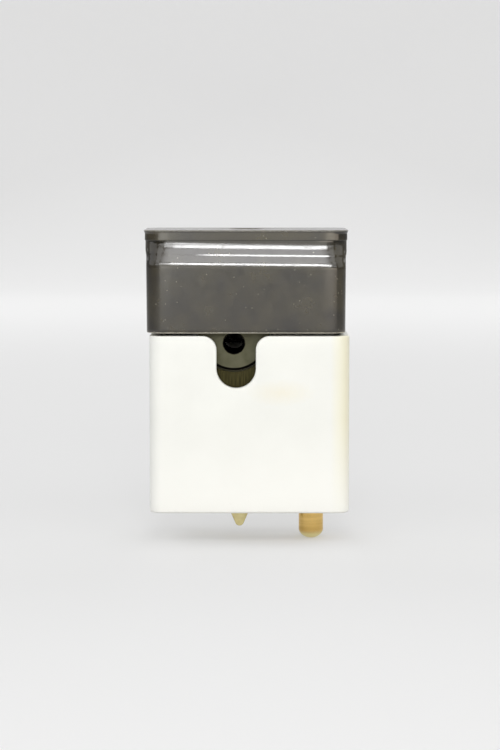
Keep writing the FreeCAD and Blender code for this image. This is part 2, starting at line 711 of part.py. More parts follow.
def make_terminal(doc, name, x):
    """The screw and clamp washer of one terminal."""
    make_washer(doc, f"{name}_clamp_washer", "clamp_radius", "terminal_screw_radius + clamp_hole_gap",
                "clamp_height", x, CLAMP_BOTTOM)
    make_screw(doc, f"{name}_terminal_screw", "terminal_screw_radius", "terminal_screw_length",
               "terminal_head_radius", "terminal_head_height", x, HEAD_BOTTOM)


def make_nut(doc):
    """The square nut of the blade's terminal."""
    body = make_body(doc, "blade_terminal_nut")
    square = rectangle(body, "nut_square", "XY_Plane", ("-nut_width / 2", "-nut_width / 2"),
                       ("nut_width / 2", "nut_width / 2"))
    pad(body, square, "nut_height")
    drill(body, "nut_thread", TERMINAL_HOLE, "nut_height")
    place(body, x=BLADE_TERMINAL_X, z=f"{BLOCK_TOP} - nut_height")


def make_pin(doc):
    """The turned contact pin: round nose, shank, ring groove, and a flange tapped for the terminal."""
    body = make_body(doc, "contact_pin")
    groove = "pin_shank_radius - ring_groove_depth"
    profile = polygon(body, "pin_profile", "XZ_Plane",
                      (("0", "-pin_reach"), ("pin_radius", "-pin_reach"), ("pin_radius", "0"),
                       ("pin_shank_radius", "0"), ("pin_shank_radius", f"{RING_BOTTOM} - ring_gap"),
                       (groove, f"{RING_BOTTOM} - ring_gap"), (groove, f"{RING_TOP} + ring_gap"),
                       ("pin_shank_radius", f"{RING_TOP} + ring_gap"),
                       ("pin_shank_radius", f"{SEAT_TOP} - pin_flange_height"),
                       ("pin_flange_radius", f"{SEAT_TOP} - pin_flange_height"),
                       ("pin_flange_radius", SEAT_TOP), ("0", SEAT_TOP)))
    turned(body, profile)
    tip = -length(doc, "pin_reach")
    round_edges(body, "pin_nose", "pin_radius - nose_flat", lambda edge: level(edge, tip))
    drill(body, "pin_thread", TERMINAL_HOLE, "pin_thread_depth", z=f"{SEAT_TOP} - pin_thread_depth")
    place(body, x=PIN_X)


def make_ring(doc):
    """The open spring ring in the pin's groove, under the block."""
    body = make_body(doc, "pin_retaining_ring")
    disc = circle(body, "ring_disc", "XY_Plane", ("0", "0"), "ring_radius")
    pad(body, disc, "ring_height")
    drill(body, "ring_hole", "pin_shank_radius - ring_groove_depth + ring_gap", "ring_height")
    mouth = rectangle(body, "ring_mouth_outline", "XY_Plane", ("0", "-ring_mouth / 2"),
                      ("2 * ring_radius", "ring_mouth / 2"))
    pocket(body, mouth, "ring_height", forwards=True)
    place(body, x=PIN_X, z=RING_BOTTOM)


def make_blade(doc):
    """The contact blade: a thick bar with a tapered round nose and a flange on the shell's floor."""
    body = make_body(doc, "contact_blade")
    half = "blade_thickness / 2"
    nose = "blade_nose_width / 2"
    outline = polygon(body, "blade_outline", "XZ_Plane",
                      ((f"-{half}", BLADE_FLANGE_TOP), (f"-{half}", "-blade_taper_start"),
                       (f"-{nose}", "-blade_reach"), (nose, "-blade_reach"),
                       (half, "-blade_taper_start"), (half, BLADE_FLANGE_TOP)))
    pad(body, outline, "blade_width", both_ways=True)
    tip = -length(doc, "blade_reach")
    round_edges(body, "blade_nose", "blade_nose_radius",
                lambda edge: level(edge, tip) and near(edge.BoundBox.XLength, 0))
    side = f"({half} + blade_flange_side)"
    end = "(blade_width / 2 + blade_flange_end)"
    flange = rectangle(body, "blade_flange", "XY_Plane", (f"-{side}", f"-{end}"), (side, end),
                       offset="floor_thickness")
    pad(body, flange, "blade_flange_height")
    drill(body, "blade_rivet_hole", "blade_rivet_radius", "blade_rivet_depth + floor_thickness",
          z=f"{BLADE_FLANGE_TOP} - blade_rivet_depth")
    place(body, x=BLADE_X)


def make_strap(doc):
    """The strap from the blade's flange, under and round the block's end, to the left terminal."""
    body = make_body(doc, "blade_strap")
    left = f"-{BLOCK_RIGHT}"
    inside = f"({left} + strap_thickness)"
    tongue = f"({BLADE_TERMINAL_X} + strap_tongue)"
    free_end = f"({BLADE_X} + strap_overlap)"
    outline = polygon(body, "strap_outline", "XZ_Plane",
                      ((free_end, BLADE_FLANGE_TOP), (left, BLADE_FLANGE_TOP),
                       (left, SEAT_TOP), (tongue, SEAT_TOP), (tongue, BLOCK_TOP), (inside, BLOCK_TOP),
                       (inside, STRAP_LOW_TOP), (free_end, STRAP_LOW_TOP)))
    pad(body, outline, "strap_width", both_ways=True)
    outer_x = length(doc, left)
    inner_x = length(doc, inside)

    def along_y(edge):
        return near(edge.BoundBox.XLength, 0) and near(edge.BoundBox.ZLength, 0)

    round_edges(body, "strap_inner_bends", "strap_channel_gap",
                lambda edge: along_y(edge) and near(edge.BoundBox.XMin, inner_x))
    round_edges(body, "strap_outer_bends", "strap_channel_gap + strap_thickness",
                lambda edge: along_y(edge) and near(edge.BoundBox.XMin, outer_x))
    drill(body, "strap_screw_hole", "terminal_screw_radius + clamp_hole_gap", "block_height",
          x=BLADE_TERMINAL_X, z=f"{BLOCK_TOP} - strap_thickness")
    drill(body, "strap_rivet_hole", "blade_rivet_radius", "2 * strap_thickness", x=BLADE_X,
          z=f"{BLADE_FLANGE_TOP} - strap_thickness / 2")


def make_blade_rivet(doc):
    """The rivet that joins the strap to the blade."""
    body = make_body(doc, "blade_rivet")
    reach = "(blade_rivet_depth + strap_thickness)"
    profile = polygon(body, "blade_rivet_profile", "XZ_Plane",
                      (("0", "blade_rivet_head_height"), ("blade_rivet_radius", "blade_rivet_head_height"),
                       ("blade_rivet_head_radius", "blade_rivet_head_height / 2"),
                       ("blade_rivet_head_radius", "0"), ("blade_rivet_radius", "0"),
                       ("blade_rivet_radius", f"-{reach}"), ("0", f"-{reach}")))
    turned(body, profile)
    place(body, x=BLADE_X, z=STRAP_LOW_TOP)


def make_cap_fixing(doc):
    """The cap's captive screw, its washer and retainer, and the insert in the lobe."""
    make_screw(doc, "cap_screw", "cap_screw_radius", f"{CAP_HEAD_BOTTOM} - {INSERT_BOTTOM} - insert_tip_gap",
               "cap_head_radius", "cap_head_height", CAP_SCREW_X, CAP_HEAD_BOTTOM)
    make_washer(doc, "cap_screw_washer", "cap_head_radius + cap_washer_overhang",
                "cap_screw_radius + clamp_hole_gap", "cap_washer_height", CAP_SCREW_X, COUNTERBORE_FLOOR)
    make_washer(doc, "cap_screw_retainer", "retainer_radius", "cap_screw_radius",
                "retainer_height", CAP_SCREW_X, RETAINER_BOTTOM)
    make_washer(doc, "cap_insert", "insert_radius", "cap_screw_radius + thread_gap", "insert_length",
                CAP_SCREW_X, INSERT_BOTTOM)


def make_fixings(doc):
    """The two countersunk screws under the shell and their inserts in the block."""
    for side, x, y in fixings():
        label = f"block_screw_{side}"
        body = make_body(doc, label)
        cone = "fixing_head_radius - fixing_screw_radius"
        profile = polygon(body, label + "_profile", "XZ_Plane",
                          (("0", "0"), ("fixing_head_radius", "0"), ("fixing_screw_radius", cone),
                           ("fixing_screw_radius", "fixing_screw_length"), ("0", "fixing_screw_length")))
        turned(body, profile)
        slot = rectangle(body, label + "_slot", "XY_Plane",
                         ("-2 * fixing_head_radius", "-fixing_slot_width / 2"),
                         ("2 * fixing_head_radius", "fixing_slot_width / 2"))
        pocket(body, slot, "fixing_slot_depth", forwards=True)
        place(body, x, y)
        insert = make_washer(doc, f"block_insert_{side}", "fixing_insert_radius",
                             "fixing_screw_radius + thread_gap", "fixing_insert_length", x,
                             "floor_thickness")
        place(insert, y=y)


def rounded_path(corners, bends):
    """Straight edges between corners, with a tangent arc at each inner corner."""
    edges = []
    start = corners[0]
    for before, corner, after, bend in zip(corners, corners[1:], corners[2:], bends):
        back = (before - corner).normalize()
        ahead = (after - corner).normalize()
        turn = back.getAngle(ahead)
        run = bend / math.tan(turn / 2)
        centre = corner + (back + ahead).normalize() * (bend / math.sin(turn / 2))
        middle = centre + (corner - centre).normalize() * bend
        entry = corner + back * run
        leave = corner + ahead * run
        edges.append(Part.LineSegment(start, entry).toShape())
        edges.append(Part.Arc(entry, middle, leave).toShape())
        start = leave
    edges.append(Part.LineSegment(start, corners[-1]).toShape())
    return edges


def hook(centre, radius, start_degrees, sweep_degrees):
    """An arc round a terminal screw, clockwise from a start angle, seen from above."""
    def at(share):
        turn = math.radians(start_degrees - sweep_degrees * share)
        return centre + Vector(math.cos(turn), math.sin(turn), 0) * radius
    return Part.Arc(at(0), at(0.5), at(1)).toShape()


def along(edge, radius):
    """The round bar along one straight edge or arc."""
    start = edge.valueAt(edge.FirstParameter)
    heading = edge.tangentAt(edge.FirstParameter)
    if edge.Curve.TypeId == "Part::GeomLine":
        return Part.makeCylinder(radius, edge.Length, start, heading)
    section = Part.Face(Part.Wire([Part.Circle(start, heading, radius).toShape()]))
    axis = (start - edge.Curve.Center).cross(heading)
    return section.revolve(edge.Curve.Center, axis, math.degrees(edge.Length / edge.Curve.Radius))


def wire_route(doc):
    """The wire's centre line: a hook, up beside the pylon, through the tunnel, down and a hook."""
    level_z = length(doc, WIRE_Z)
    tunnel_z = length(doc, SIGHT_Z)
    radius = length(doc, HOOK_RADIUS)
    riser_x = length(doc, f"{LOBE_LEFT} - wire_clearance")
    exit_x = length(doc, f"{LOBE_RIGHT} + exit_run")
    foot_x = length(doc, f"{PIN_X} - foot_run")
    left = Vector(length(doc, BLADE_TERMINAL_X), 0, level_z)
    right = Vector(length(doc, PIN_X), 0, level_z)
    corners = [left - Vector(0, radius, 0), Vector(riser_x, -radius, level_z), Vector(riser_x, 0, tunnel_z),
               Vector(exit_x, 0, tunnel_z), Vector(foot_x, radius, level_z), right + Vector(0, radius, 0)]
    bend = length(doc, "wire_bend")
    sweep = SIZES["hook_sweep"]
    middle = rounded_path(corners, (bend, bend, length(doc, "exit_bend"), bend))
    return [hook(left, radius, -90, sweep)] + middle + [hook(right, radius, 90, sweep)]


def make_wire(doc):
    """The fuse wire: hooked clockwise round both terminal screws, through the block's tunnel between."""
    radius = length(doc, "wire_radius")
    parts = [along(edge, radius) for edge in wire_route(doc)]
    item = doc.addObject("Part::Feature", "fuse_wire")
    item.Label = "fuse_wire"
    item.Shape = parts[0].multiFuse(parts[1:]).removeSplitter().Solids[0]
    return item


def check(doc):
    """Stop if a feature failed or a piece has no valid shape."""
    for item in doc.Objects:
        if "Invalid" in item.State or "Error" in item.State:
            raise RuntimeError(f"{item.Name} failed: {item.State}")
    for piece in pieces(doc):
        if piece.Shape.isNull() or not piece.Shape.isValid() or not piece.Shape.Solids:
            raise RuntimeError(f"{piece.Label} has no valid solid")


def pieces(doc):
    """The finished pieces: every body, the group of rivets and the wire."""
    extra = ("pad_rivets", "fuse_wire")
    return [item for item in doc.Objects
            if item.isDerivedFrom("PartDesign::Body") or item.Label in extra]


def main():
    """Build every piece, check them and write each one to its own file."""
    doc = FreeCAD.newDocument("fuse_carrier")
    make_sheet(doc)
    make_shell(doc)
    block = make_block(doc)
    make_arc_pad(doc, "arc_pad_front", front=True)
    make_arc_pad(doc, "arc_pad_rear", front=False)
    make_pad_rivets(doc, block)
    make_cap(doc)
    make_cap_fixing(doc)
    make_pin(doc)
    make_ring(doc)
    make_terminal(doc, "pin", PIN_X)
    make_blade(doc)
    make_strap(doc)
    make_blade_rivet(doc)
    make_nut(doc)
    make_terminal(doc, "blade", BLADE_TERMINAL_X)
    make_fixings(doc)
    make_wire(doc)
    doc.recompute()
    check(doc)
    os.makedirs("parts", exist_ok=True)
    for piece in pieces(doc):
        piece.Shape.exportStep(f"parts/{piece.Label}.step")
        print(f"{piece.Label}: {len(piece.Shape.Solids)} solid, {piece.Shape.Volume:.1f} cubic millimetres")


main()
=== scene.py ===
import logging
import math
from collections.abc import Sequence
from dataclasses import dataclass, field
from enum import Enum

import bpy
import numpy as np
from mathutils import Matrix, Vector


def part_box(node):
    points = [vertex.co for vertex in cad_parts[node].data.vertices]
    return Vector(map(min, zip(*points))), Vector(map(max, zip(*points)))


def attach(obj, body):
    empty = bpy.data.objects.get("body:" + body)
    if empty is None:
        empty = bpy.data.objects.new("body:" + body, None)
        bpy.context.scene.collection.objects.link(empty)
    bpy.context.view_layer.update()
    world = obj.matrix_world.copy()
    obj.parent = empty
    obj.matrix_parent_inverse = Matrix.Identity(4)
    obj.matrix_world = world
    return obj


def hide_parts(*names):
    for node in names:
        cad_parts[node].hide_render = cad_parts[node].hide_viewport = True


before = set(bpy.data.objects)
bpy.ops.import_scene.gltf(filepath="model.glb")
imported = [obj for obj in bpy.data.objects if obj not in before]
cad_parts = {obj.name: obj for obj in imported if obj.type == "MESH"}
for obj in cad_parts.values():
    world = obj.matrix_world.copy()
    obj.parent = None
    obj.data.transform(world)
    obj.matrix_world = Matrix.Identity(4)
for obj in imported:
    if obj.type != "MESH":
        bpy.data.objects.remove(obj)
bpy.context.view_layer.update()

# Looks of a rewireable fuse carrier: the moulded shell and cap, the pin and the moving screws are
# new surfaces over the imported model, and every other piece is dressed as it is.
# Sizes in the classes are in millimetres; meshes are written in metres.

MM = 0.001
QUARTER = math.pi / 2
Colour = tuple[float, float, float, float]
Pair = tuple[float, float]
Point = tuple[float, float, float]
Socket = bpy.types.NodeSocket
WHITE = (1.0, 1.0, 1.0, 1.0)

log = logging.getLogger("fuse_carrier")


def colour(red: int, green: int, blue: int) -> Colour:
    """A colour given as it looks on screen, turned into linear light.

    Args:
        red: Red level, 0 to 255.
        green: Green level, 0 to 255.
        blue: Blue level, 0 to 255.

    Returns:
        The linear colour with full opacity.
    """
    levels = np.array([red, green, blue]) / 255.0
    linear = np.where(levels <= 0.04045, levels / 12.92, ((levels + 0.055) / 1.055) ** 2.4)
    return (*map(float, linear), 1.0)


def smooth_step(values: np.ndarray | float, start: float, end: float) -> np.ndarray | float:
    """Nought up to start and one from end, with the cubic 3t² - 2t³ between.

    Args:
        values: Where to work it out.
        start: The value at which it leaves nought.
        end: The value at which it reaches one.

    Returns:
        The step's height at each value.
    """
    share = np.clip((values - start) / (end - start), 0.0, 1.0)
    return share * share * (3.0 - 2.0 * share)


def rounding(radius: float, steps: int = 4) -> np.ndarray:
    """A rounded edge: the radius times one minus the cosine, and one minus the sine, of each turn.

    Args:
        radius: The edge's radius.
        steps: Steps over its quarter of a turn.

    Returns:
        The two values at each turn, from nought and the radius to the radius and nought.
    """
    turns = np.linspace(0, QUARTER, steps + 1)
    return radius * np.stack([1 - np.cos(turns), 1 - np.sin(turns)], axis=1)


def at_level(outline: np.ndarray, height: float) -> np.ndarray:
    """An outline's points at one height.

    Args:
        outline: x and y of each point.
        height: Their z.

    Returns:
        x, y and z of each point.
    """
    return np.column_stack([outline, np.full(len(outline), height)])


def box_of(node: str) -> tuple[np.ndarray, np.ndarray]:
    """A node's box at rest.

    Args:
        node: The node's name.

    Returns:
        Its lowest and highest corners, in millimetres.
    """
    low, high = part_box(node)
    return np.array(low) / MM, np.array(high) / MM


def centre_of(node: str) -> np.ndarray:
    """The middle of a node's box at rest, in millimetres."""
    low, high = box_of(node)
    return (low + high) / 2


@dataclass
class Surface:
    """Points and faces of one piece, gathered grid by grid, in millimetres.

    Attributes:
        points: The points kept so far, in groups.
        faces: The faces kept so far, in groups.
        count: How many points are kept.
    """

    points: list[np.ndarray] = field(default_factory=list)
    faces: list[np.ndarray] = field(default_factory=list)
    count: int = 0

    def add_points(self, points: np.ndarray) -> np.ndarray:
        """Keep some points.

        Args:
            points: The points, with x, y and z last.

        Returns:
            The numbers they got, in the same layout.
        """
        flat = points.reshape(-1, 3)
        numbers = np.arange(len(flat)) + self.count
        self.points.append(flat)
        self.count += len(flat)
        return numbers.reshape(points.shape[:-1])

    def add_grid(self, grid: np.ndarray, round_columns: bool = True, round_rows: bool = False,
                 poles: Sequence[Sequence[float]] = ()) -> np.ndarray:
        """Join the points of a grid by row and column.

        Args:
            grid: Points by row and column.
            round_columns: Whether the last column joins the first one.
            round_rows: Whether the last row joins the first one.
            poles: The points that close the first row and the last row, if any.

        Returns:
            The points' numbers by row and column.
        """
        numbers = self.add_points(grid)
        net = np.concatenate([numbers, numbers[:, :1]], axis=1) if round_columns else numbers
        net = np.concatenate([net, net[:1]]) if round_rows else net
        quads = np.stack([net[:-1, :-1], net[:-1, 1:], net[1:, 1:], net[1:, :-1]], axis=-1)
        self.faces.append(quads.reshape(-1, 4))
        for ring, pole, order in zip((numbers[0], numbers[-1]), poles, (-1, 1)):
            middle = np.full_like(ring, self.add_points(np.array([pole], float))[0])
            sides = [ring, np.roll(ring, -1)][::order]
            self.faces.append(np.stack([*sides, middle], axis=-1))
        return numbers

    def mesh(self, name: str) -> bpy.types.Mesh:
        """Make the Blender mesh, turned over where the volume inside its faces comes out negative.

        Args:
            name: The mesh's name.

        Returns:
            The mesh, in metres, with its faces pointing outwards.
        """
        points = np.concatenate(self.points) * MM
        fans = [face[:, [0, side, side + 1]] for face in self.faces for side in range(1, face.shape[1] - 1)]
        first, second, third = points[np.concatenate(fans)].transpose(1, 0, 2)
        order = -1 if (first * np.cross(second, third)).sum() < 0 else 1
        faces = [face[:, ::order] for face in self.faces]
        sizes = np.concatenate([np.full(len(face), face.shape[1]) for face in faces])
        loops = np.concatenate([face.ravel() for face in faces])
        mesh = bpy.data.meshes.new(name)
        mesh.vertices.add(len(points))
        mesh.vertices.foreach_set("co", points.ravel())
        mesh.loops.add(len(loops))
        mesh.loops.foreach_set("vertex_index", loops)
        mesh.polygons.add(len(sizes))
        mesh.polygons.foreach_set("loop_start", np.cumsum(sizes) - sizes)
        mesh.polygons.foreach_set("use_smooth", np.ones(len(sizes), bool))
        mesh.update(calc_edges=True)
        mesh.validate()
        return mesh


def box_surface(low: Sequence[float], high: Sequence[float]) -> Surface:
    """A plain closed box between two corners.

    Args:
        low: Its lowest corner.
        high: Its highest corner.

    Returns:
        The box.
    """
    square = np.array([[low[0], low[1]], [high[0], low[1]], [high[0], high[1]], [low[0], high[1]]])
    made = Surface()
    numbers = made.add_grid(np.stack([at_level(square, low[2]), at_level(square, high[2])]))
    made.faces.append(np.stack([numbers[0][::-1], numbers[1]]))
    return made


def turned_surface(centre: Sequence[float], radii: Sequence[float] | np.ndarray, heights: Sequence[float],
                   steps: int = 48) -> Surface:
    """A closed round piece: each point is the upright axis plus its radius along its turn.

    Args:
        centre: The axis's x and y.
        radii: The radius at each height, or at each height and turn.
        heights: The heights.
        steps: Steps round the axis.

    Returns:
        The piece.
    """
    turns = np.linspace(0, 4 * QUARTER, steps, endpoint=False)
    reach = np.array(radii, float).reshape(len(heights), -1)
    grid = np.broadcast_arrays(centre[0] + reach * np.cos(turns), centre[1] + reach * np.sin(turns),
                               np.array(heights)[:, None])
    made = Surface()
    made.add_grid(np.stack(grid, axis=-1), poles=[(*centre[:2], heights[0]), (*centre[:2], heights[-1])])
    return made


@dataclass(frozen=True)
class Nodes:
    """The nodes of one finish or of the room, each added together with its values and links.

    Attributes:
        tree: The node tree.
    """

    tree: bpy.types.NodeTree

    def feed(self, node: bpy.types.Node, inputs: dict[str | int, object]) -> None:
        """Fill a node's inputs.

        Args:
            node: The node.
            inputs: For each input a socket, which is linked, or a value, which is set.
        """
        for name, value in inputs.items():
            if isinstance(value, Socket):
                self.tree.links.new(value, node.inputs[name])
            else:
                node.inputs[name].default_value = value

    def add(self, kind: str, inputs: dict[str | int, object], **settings: str) -> bpy.types.NodeOutputs:
        """Add a node.

        Args:
            kind: The node's type, without the word in front that all of them have.
            inputs: A socket or a value for each input.
            settings: The node's own settings.

        Returns:
            Its outputs.
        """
        node = self.tree.nodes.new(f"ShaderNode{kind}")
        for name, value in settings.items():
            setattr(node, name, value)
        self.feed(node, inputs)
        return node.outputs

    def place(self, kind: str = "Object") -> Socket:
        """The coordinates of one kind."""
        return self.add("TexCoord", {})[kind]

    def math(self, operation: str, *values: Socket | float) -> Socket:
        """The result of one operation on numbers."""
        return self.add("Math", dict(enumerate(values)), operation=operation)["Value"]

    def vector(self, operation: str, *values: Socket | Point) -> bpy.types.NodeOutputs:
        """The results of one operation on vectors."""
        return self.add("VectorMath", dict(enumerate(values)), operation=operation)

    def parts(self, vector: Socket) -> bpy.types.NodeOutputs:
        """A vector's X, Y and Z."""
        return self.add("SeparateXYZ", {"Vector": vector})

    def spread(self, value: Socket, before: tuple, after: tuple, kind: str = "LINEAR") -> Socket:
        """Carry a value over from one range to another, and hold it at their ends.

        Args:
            value: The value.
            before: The range that it is read in.
            after: What each end of that range becomes.
            kind: How it runs between the ends.

        Returns:
            The value carried over.
        """
        ends = {"From Min": before[0], "From Max": before[1], "To Min": after[0], "To Max": after[1]}
        return self.add("MapRange", {"Value": value, **ends}, interpolation_type=kind)["Result"]

    def mix(self, share: Socket, under: Socket, over: Colour) -> Socket:
        """One colour laid over another by its share."""
        return self.add("Mix", {0: share, 6: under, 7: over}, data_type="RGBA")[2]

    def noise(self, place: Socket, scale: float, layers: float) -> Socket:
        """A cloudy noise.

        Args:
            place: The coordinates that it reads.
            scale: Clouds per metre.
            layers: Layers of finer clouds.

        Returns:
            The noise's value.
        """
        return self.add("TexNoise", {"Vector": place, "Scale": scale, "Detail": layers})["Fac"]

    def seen(self) -> Socket:
        """Tell a look from a light.

        Returns:
            One for a ray from the camera, a reflection or a clear piece, and nought for any other.
        """
        path = self.add("LightPath", {})
        mirrored = self.math("MAXIMUM", path["Is Camera Ray"], path["Is Glossy Ray"])
        return self.math("MAXIMUM", mirrored, path["Is Transmission Ray"])


class Pattern(Enum):
    """How a finish's colour varies over a piece, as the stretch of its patches along x, y and z."""

    MOTTLED = (1.0, 1.0, 1.0)
    STRIATED = (1.0, 1.0, 0.06)
    TURNED = (0.05, 0.05, 1.0)


@dataclass(frozen=True)
class Mark:
    """A stain, a worn edge, painted shade or painted light, laid over a finish near a point, a line or a
    plane.

    Its distance is the length of the way to the centre, each axis times its weight, so that an axis
    of weight nought is left out.

    Attributes:
        tint: Its colour.
        centre: A point in its middle, in millimetres.
        weights: How much x, y and z count in the distance.
        reach: The distance at which it fades out.
        soft: The distance over which it fades.
        ragged: How far a noise moves its border.
        strength: How much of the finish it hides.
        ring: Radius of the ring from which the distance counts; nought counts from the centre.
        top: Height in millimetres over which nothing is laid.
        dull: Whether it takes the sheen off.
    """

    tint: Colour
    centre: Point
    weights: Point
    reach: float
    soft: float
    ragged: float = 0.0
    strength: float = 1.0
    ring: float = 0.0
    top: float = 1000.0
    dull: bool = False

    def hidden(self, nodes: Nodes, place: Socket, noise: Socket) -> Socket:
        """Work out how much of the finish the mark hides.

        Args:
            nodes: The finish's nodes.
            place: Object coordinates.
            noise: A noise that makes the border ragged.

        Returns:
            The hidden share.
        """
        away = nodes.vector("SUBTRACT", place, [part * MM for part in self.centre])["Vector"]
        weighed = nodes.vector("MULTIPLY", away, self.weights)["Vector"]
        beyond = nodes.math("SUBTRACT", nodes.vector("LENGTH", weighed)["Value"], self.ring * MM)
        moved = nodes.math("MULTIPLY_ADD", noise, 2 * self.ragged * MM, nodes.math("ABSOLUTE", beyond))
        border = self.reach + self.ragged
        share = nodes.spread(moved, (border * MM, (border - self.soft) * MM), (0.0, self.strength))
        return nodes.math("MULTIPLY", share, nodes.math("LESS_THAN", nodes.parts(place)["Z"], self.top * MM))


@dataclass(frozen=True)
class Finish:
    """A material whose colour, gloss and grain vary over the surface.

    Attributes:
        slot: The material slot that it fills.
        dark: Colour of the darker patches.
        light: Colour of the lighter patches.
        patches: Patches per metre.
        pattern: The direction in which the patches run.
        rough: Least and greatest roughness.
        grain: Bumps of the fine grain per metre.
        relief: Height of the grain in millimetres.
        metallic: Whether the piece is bare metal.
        speck: Colour of the specks of dust, if any.
        speck_size: Radius of a speck as a share of the specks' spacing.
        speck_count: Specks per metre.
        index: Refractive index.
        marks: Stains, worn edges, painted shade, painted light and painted highlights.
        variant: A word that tells finishes of one slot apart.
        patch_ends: Levels of the noise at which the dark and the light patches are whole.
        gloss_ends: Levels of the noise at which the roughness is least and greatest.
        gloss_patches: How much finer the patches of gloss are than those of colour.
        border_clouds: Clouds per metre of the noise at the marks' borders.
        sheen: Specular level of a clean surface.
    """

    slot: str
    dark: Colour
    light: Colour
    patches: float
    pattern: Pattern = Pattern.MOTTLED
    rough: Pair = (0.4, 0.5)
    grain: float = 2500.0
    relief: float = 0.01
    metallic: bool = False
    speck: Colour | None = None
    speck_size: float = 0.06
    speck_count: float = 800.0
    index: float = 1.5
    marks: tuple[Mark, ...] = ()
    variant: str = "finish"
    patch_ends: Pair = (0.35, 0.65)
    gloss_ends: Pair = (0.3, 0.7)
    gloss_patches: float = 3.0
    border_clouds: float = 1400.0
    sheen: float = 0.5

    def material(self) -> bpy.types.Material:
        """The node material, read from object coordinates and built the first time it is asked for.

        Returns:
            The material.
        """
        title = f"{self.slot}_{self.variant}"
        made = bpy.data.materials.get(title)
        if made is not None:
            return made
        made = bpy.data.materials.new(title)
        made.use_nodes = True
        nodes = Nodes(made.node_tree)
        place = nodes.place()
        along = nodes.add("Mapping", {"Vector": place, "Scale": self.pattern.value})["Vector"]
        base, sheen = self._coloured(nodes, place, along)
        gloss = nodes.noise(along, self.patches * self.gloss_patches, 3.0)
        bump = {"Strength": 1.0, "Distance": self.relief * MM, "Height": nodes.noise(along, self.grain, 2.0)}
        nodes.feed(made.node_tree.nodes["Principled BSDF"], {
            "Base Color": base,
            "Metallic": float(self.metallic),
            "Roughness": nodes.spread(gloss, self.gloss_ends, self.rough),
            "IOR": self.index,
            "Specular IOR Level": sheen,
            "Normal": nodes.add("Bump", bump)["Normal"]})
        return made

    def _coloured(self, nodes: Nodes, place: Socket, along: Socket) -> tuple[Socket, Socket | float]:
        """The patches with the marks and then the dust over them.

        Args:
            nodes: The finish's nodes.
            place: Object coordinates.
            along: The coordinates, squeezed along the way that the pattern runs.

        Returns:
            The colour, and the sheen that the dull marks leave.
        """
        ramp = nodes.tree.nodes.new("ShaderNodeValToRGB")
        nodes.feed(ramp, {"Fac": nodes.noise(along, self.patches, 4.0)})
        for element, end, tint in zip(ramp.color_ramp.elements, self.patch_ends, (self.dark, self.light)):
            element.position = end
            element.color = tint
        base, sheen = ramp.outputs["Color"], self.sheen
        border = nodes.noise(place, self.border_clouds, 3.0) if self.marks else None
        for mark in self.marks:
            hidden = mark.hidden(nodes, place, border)
            base = nodes.mix(hidden, base, mark.tint)
            if mark.dull:
                sheen = nodes.math("MULTIPLY", nodes.math("SUBTRACT", 1.0, hidden), sheen)
        if self.speck is not None:
            cells = nodes.add("TexVoronoi", {"Vector": place, "Scale": self.speck_count})
            base = nodes.mix(nodes.math("LESS_THAN", cells["Distance"], self.speck_size), base, self.speck)
        return base, sheen


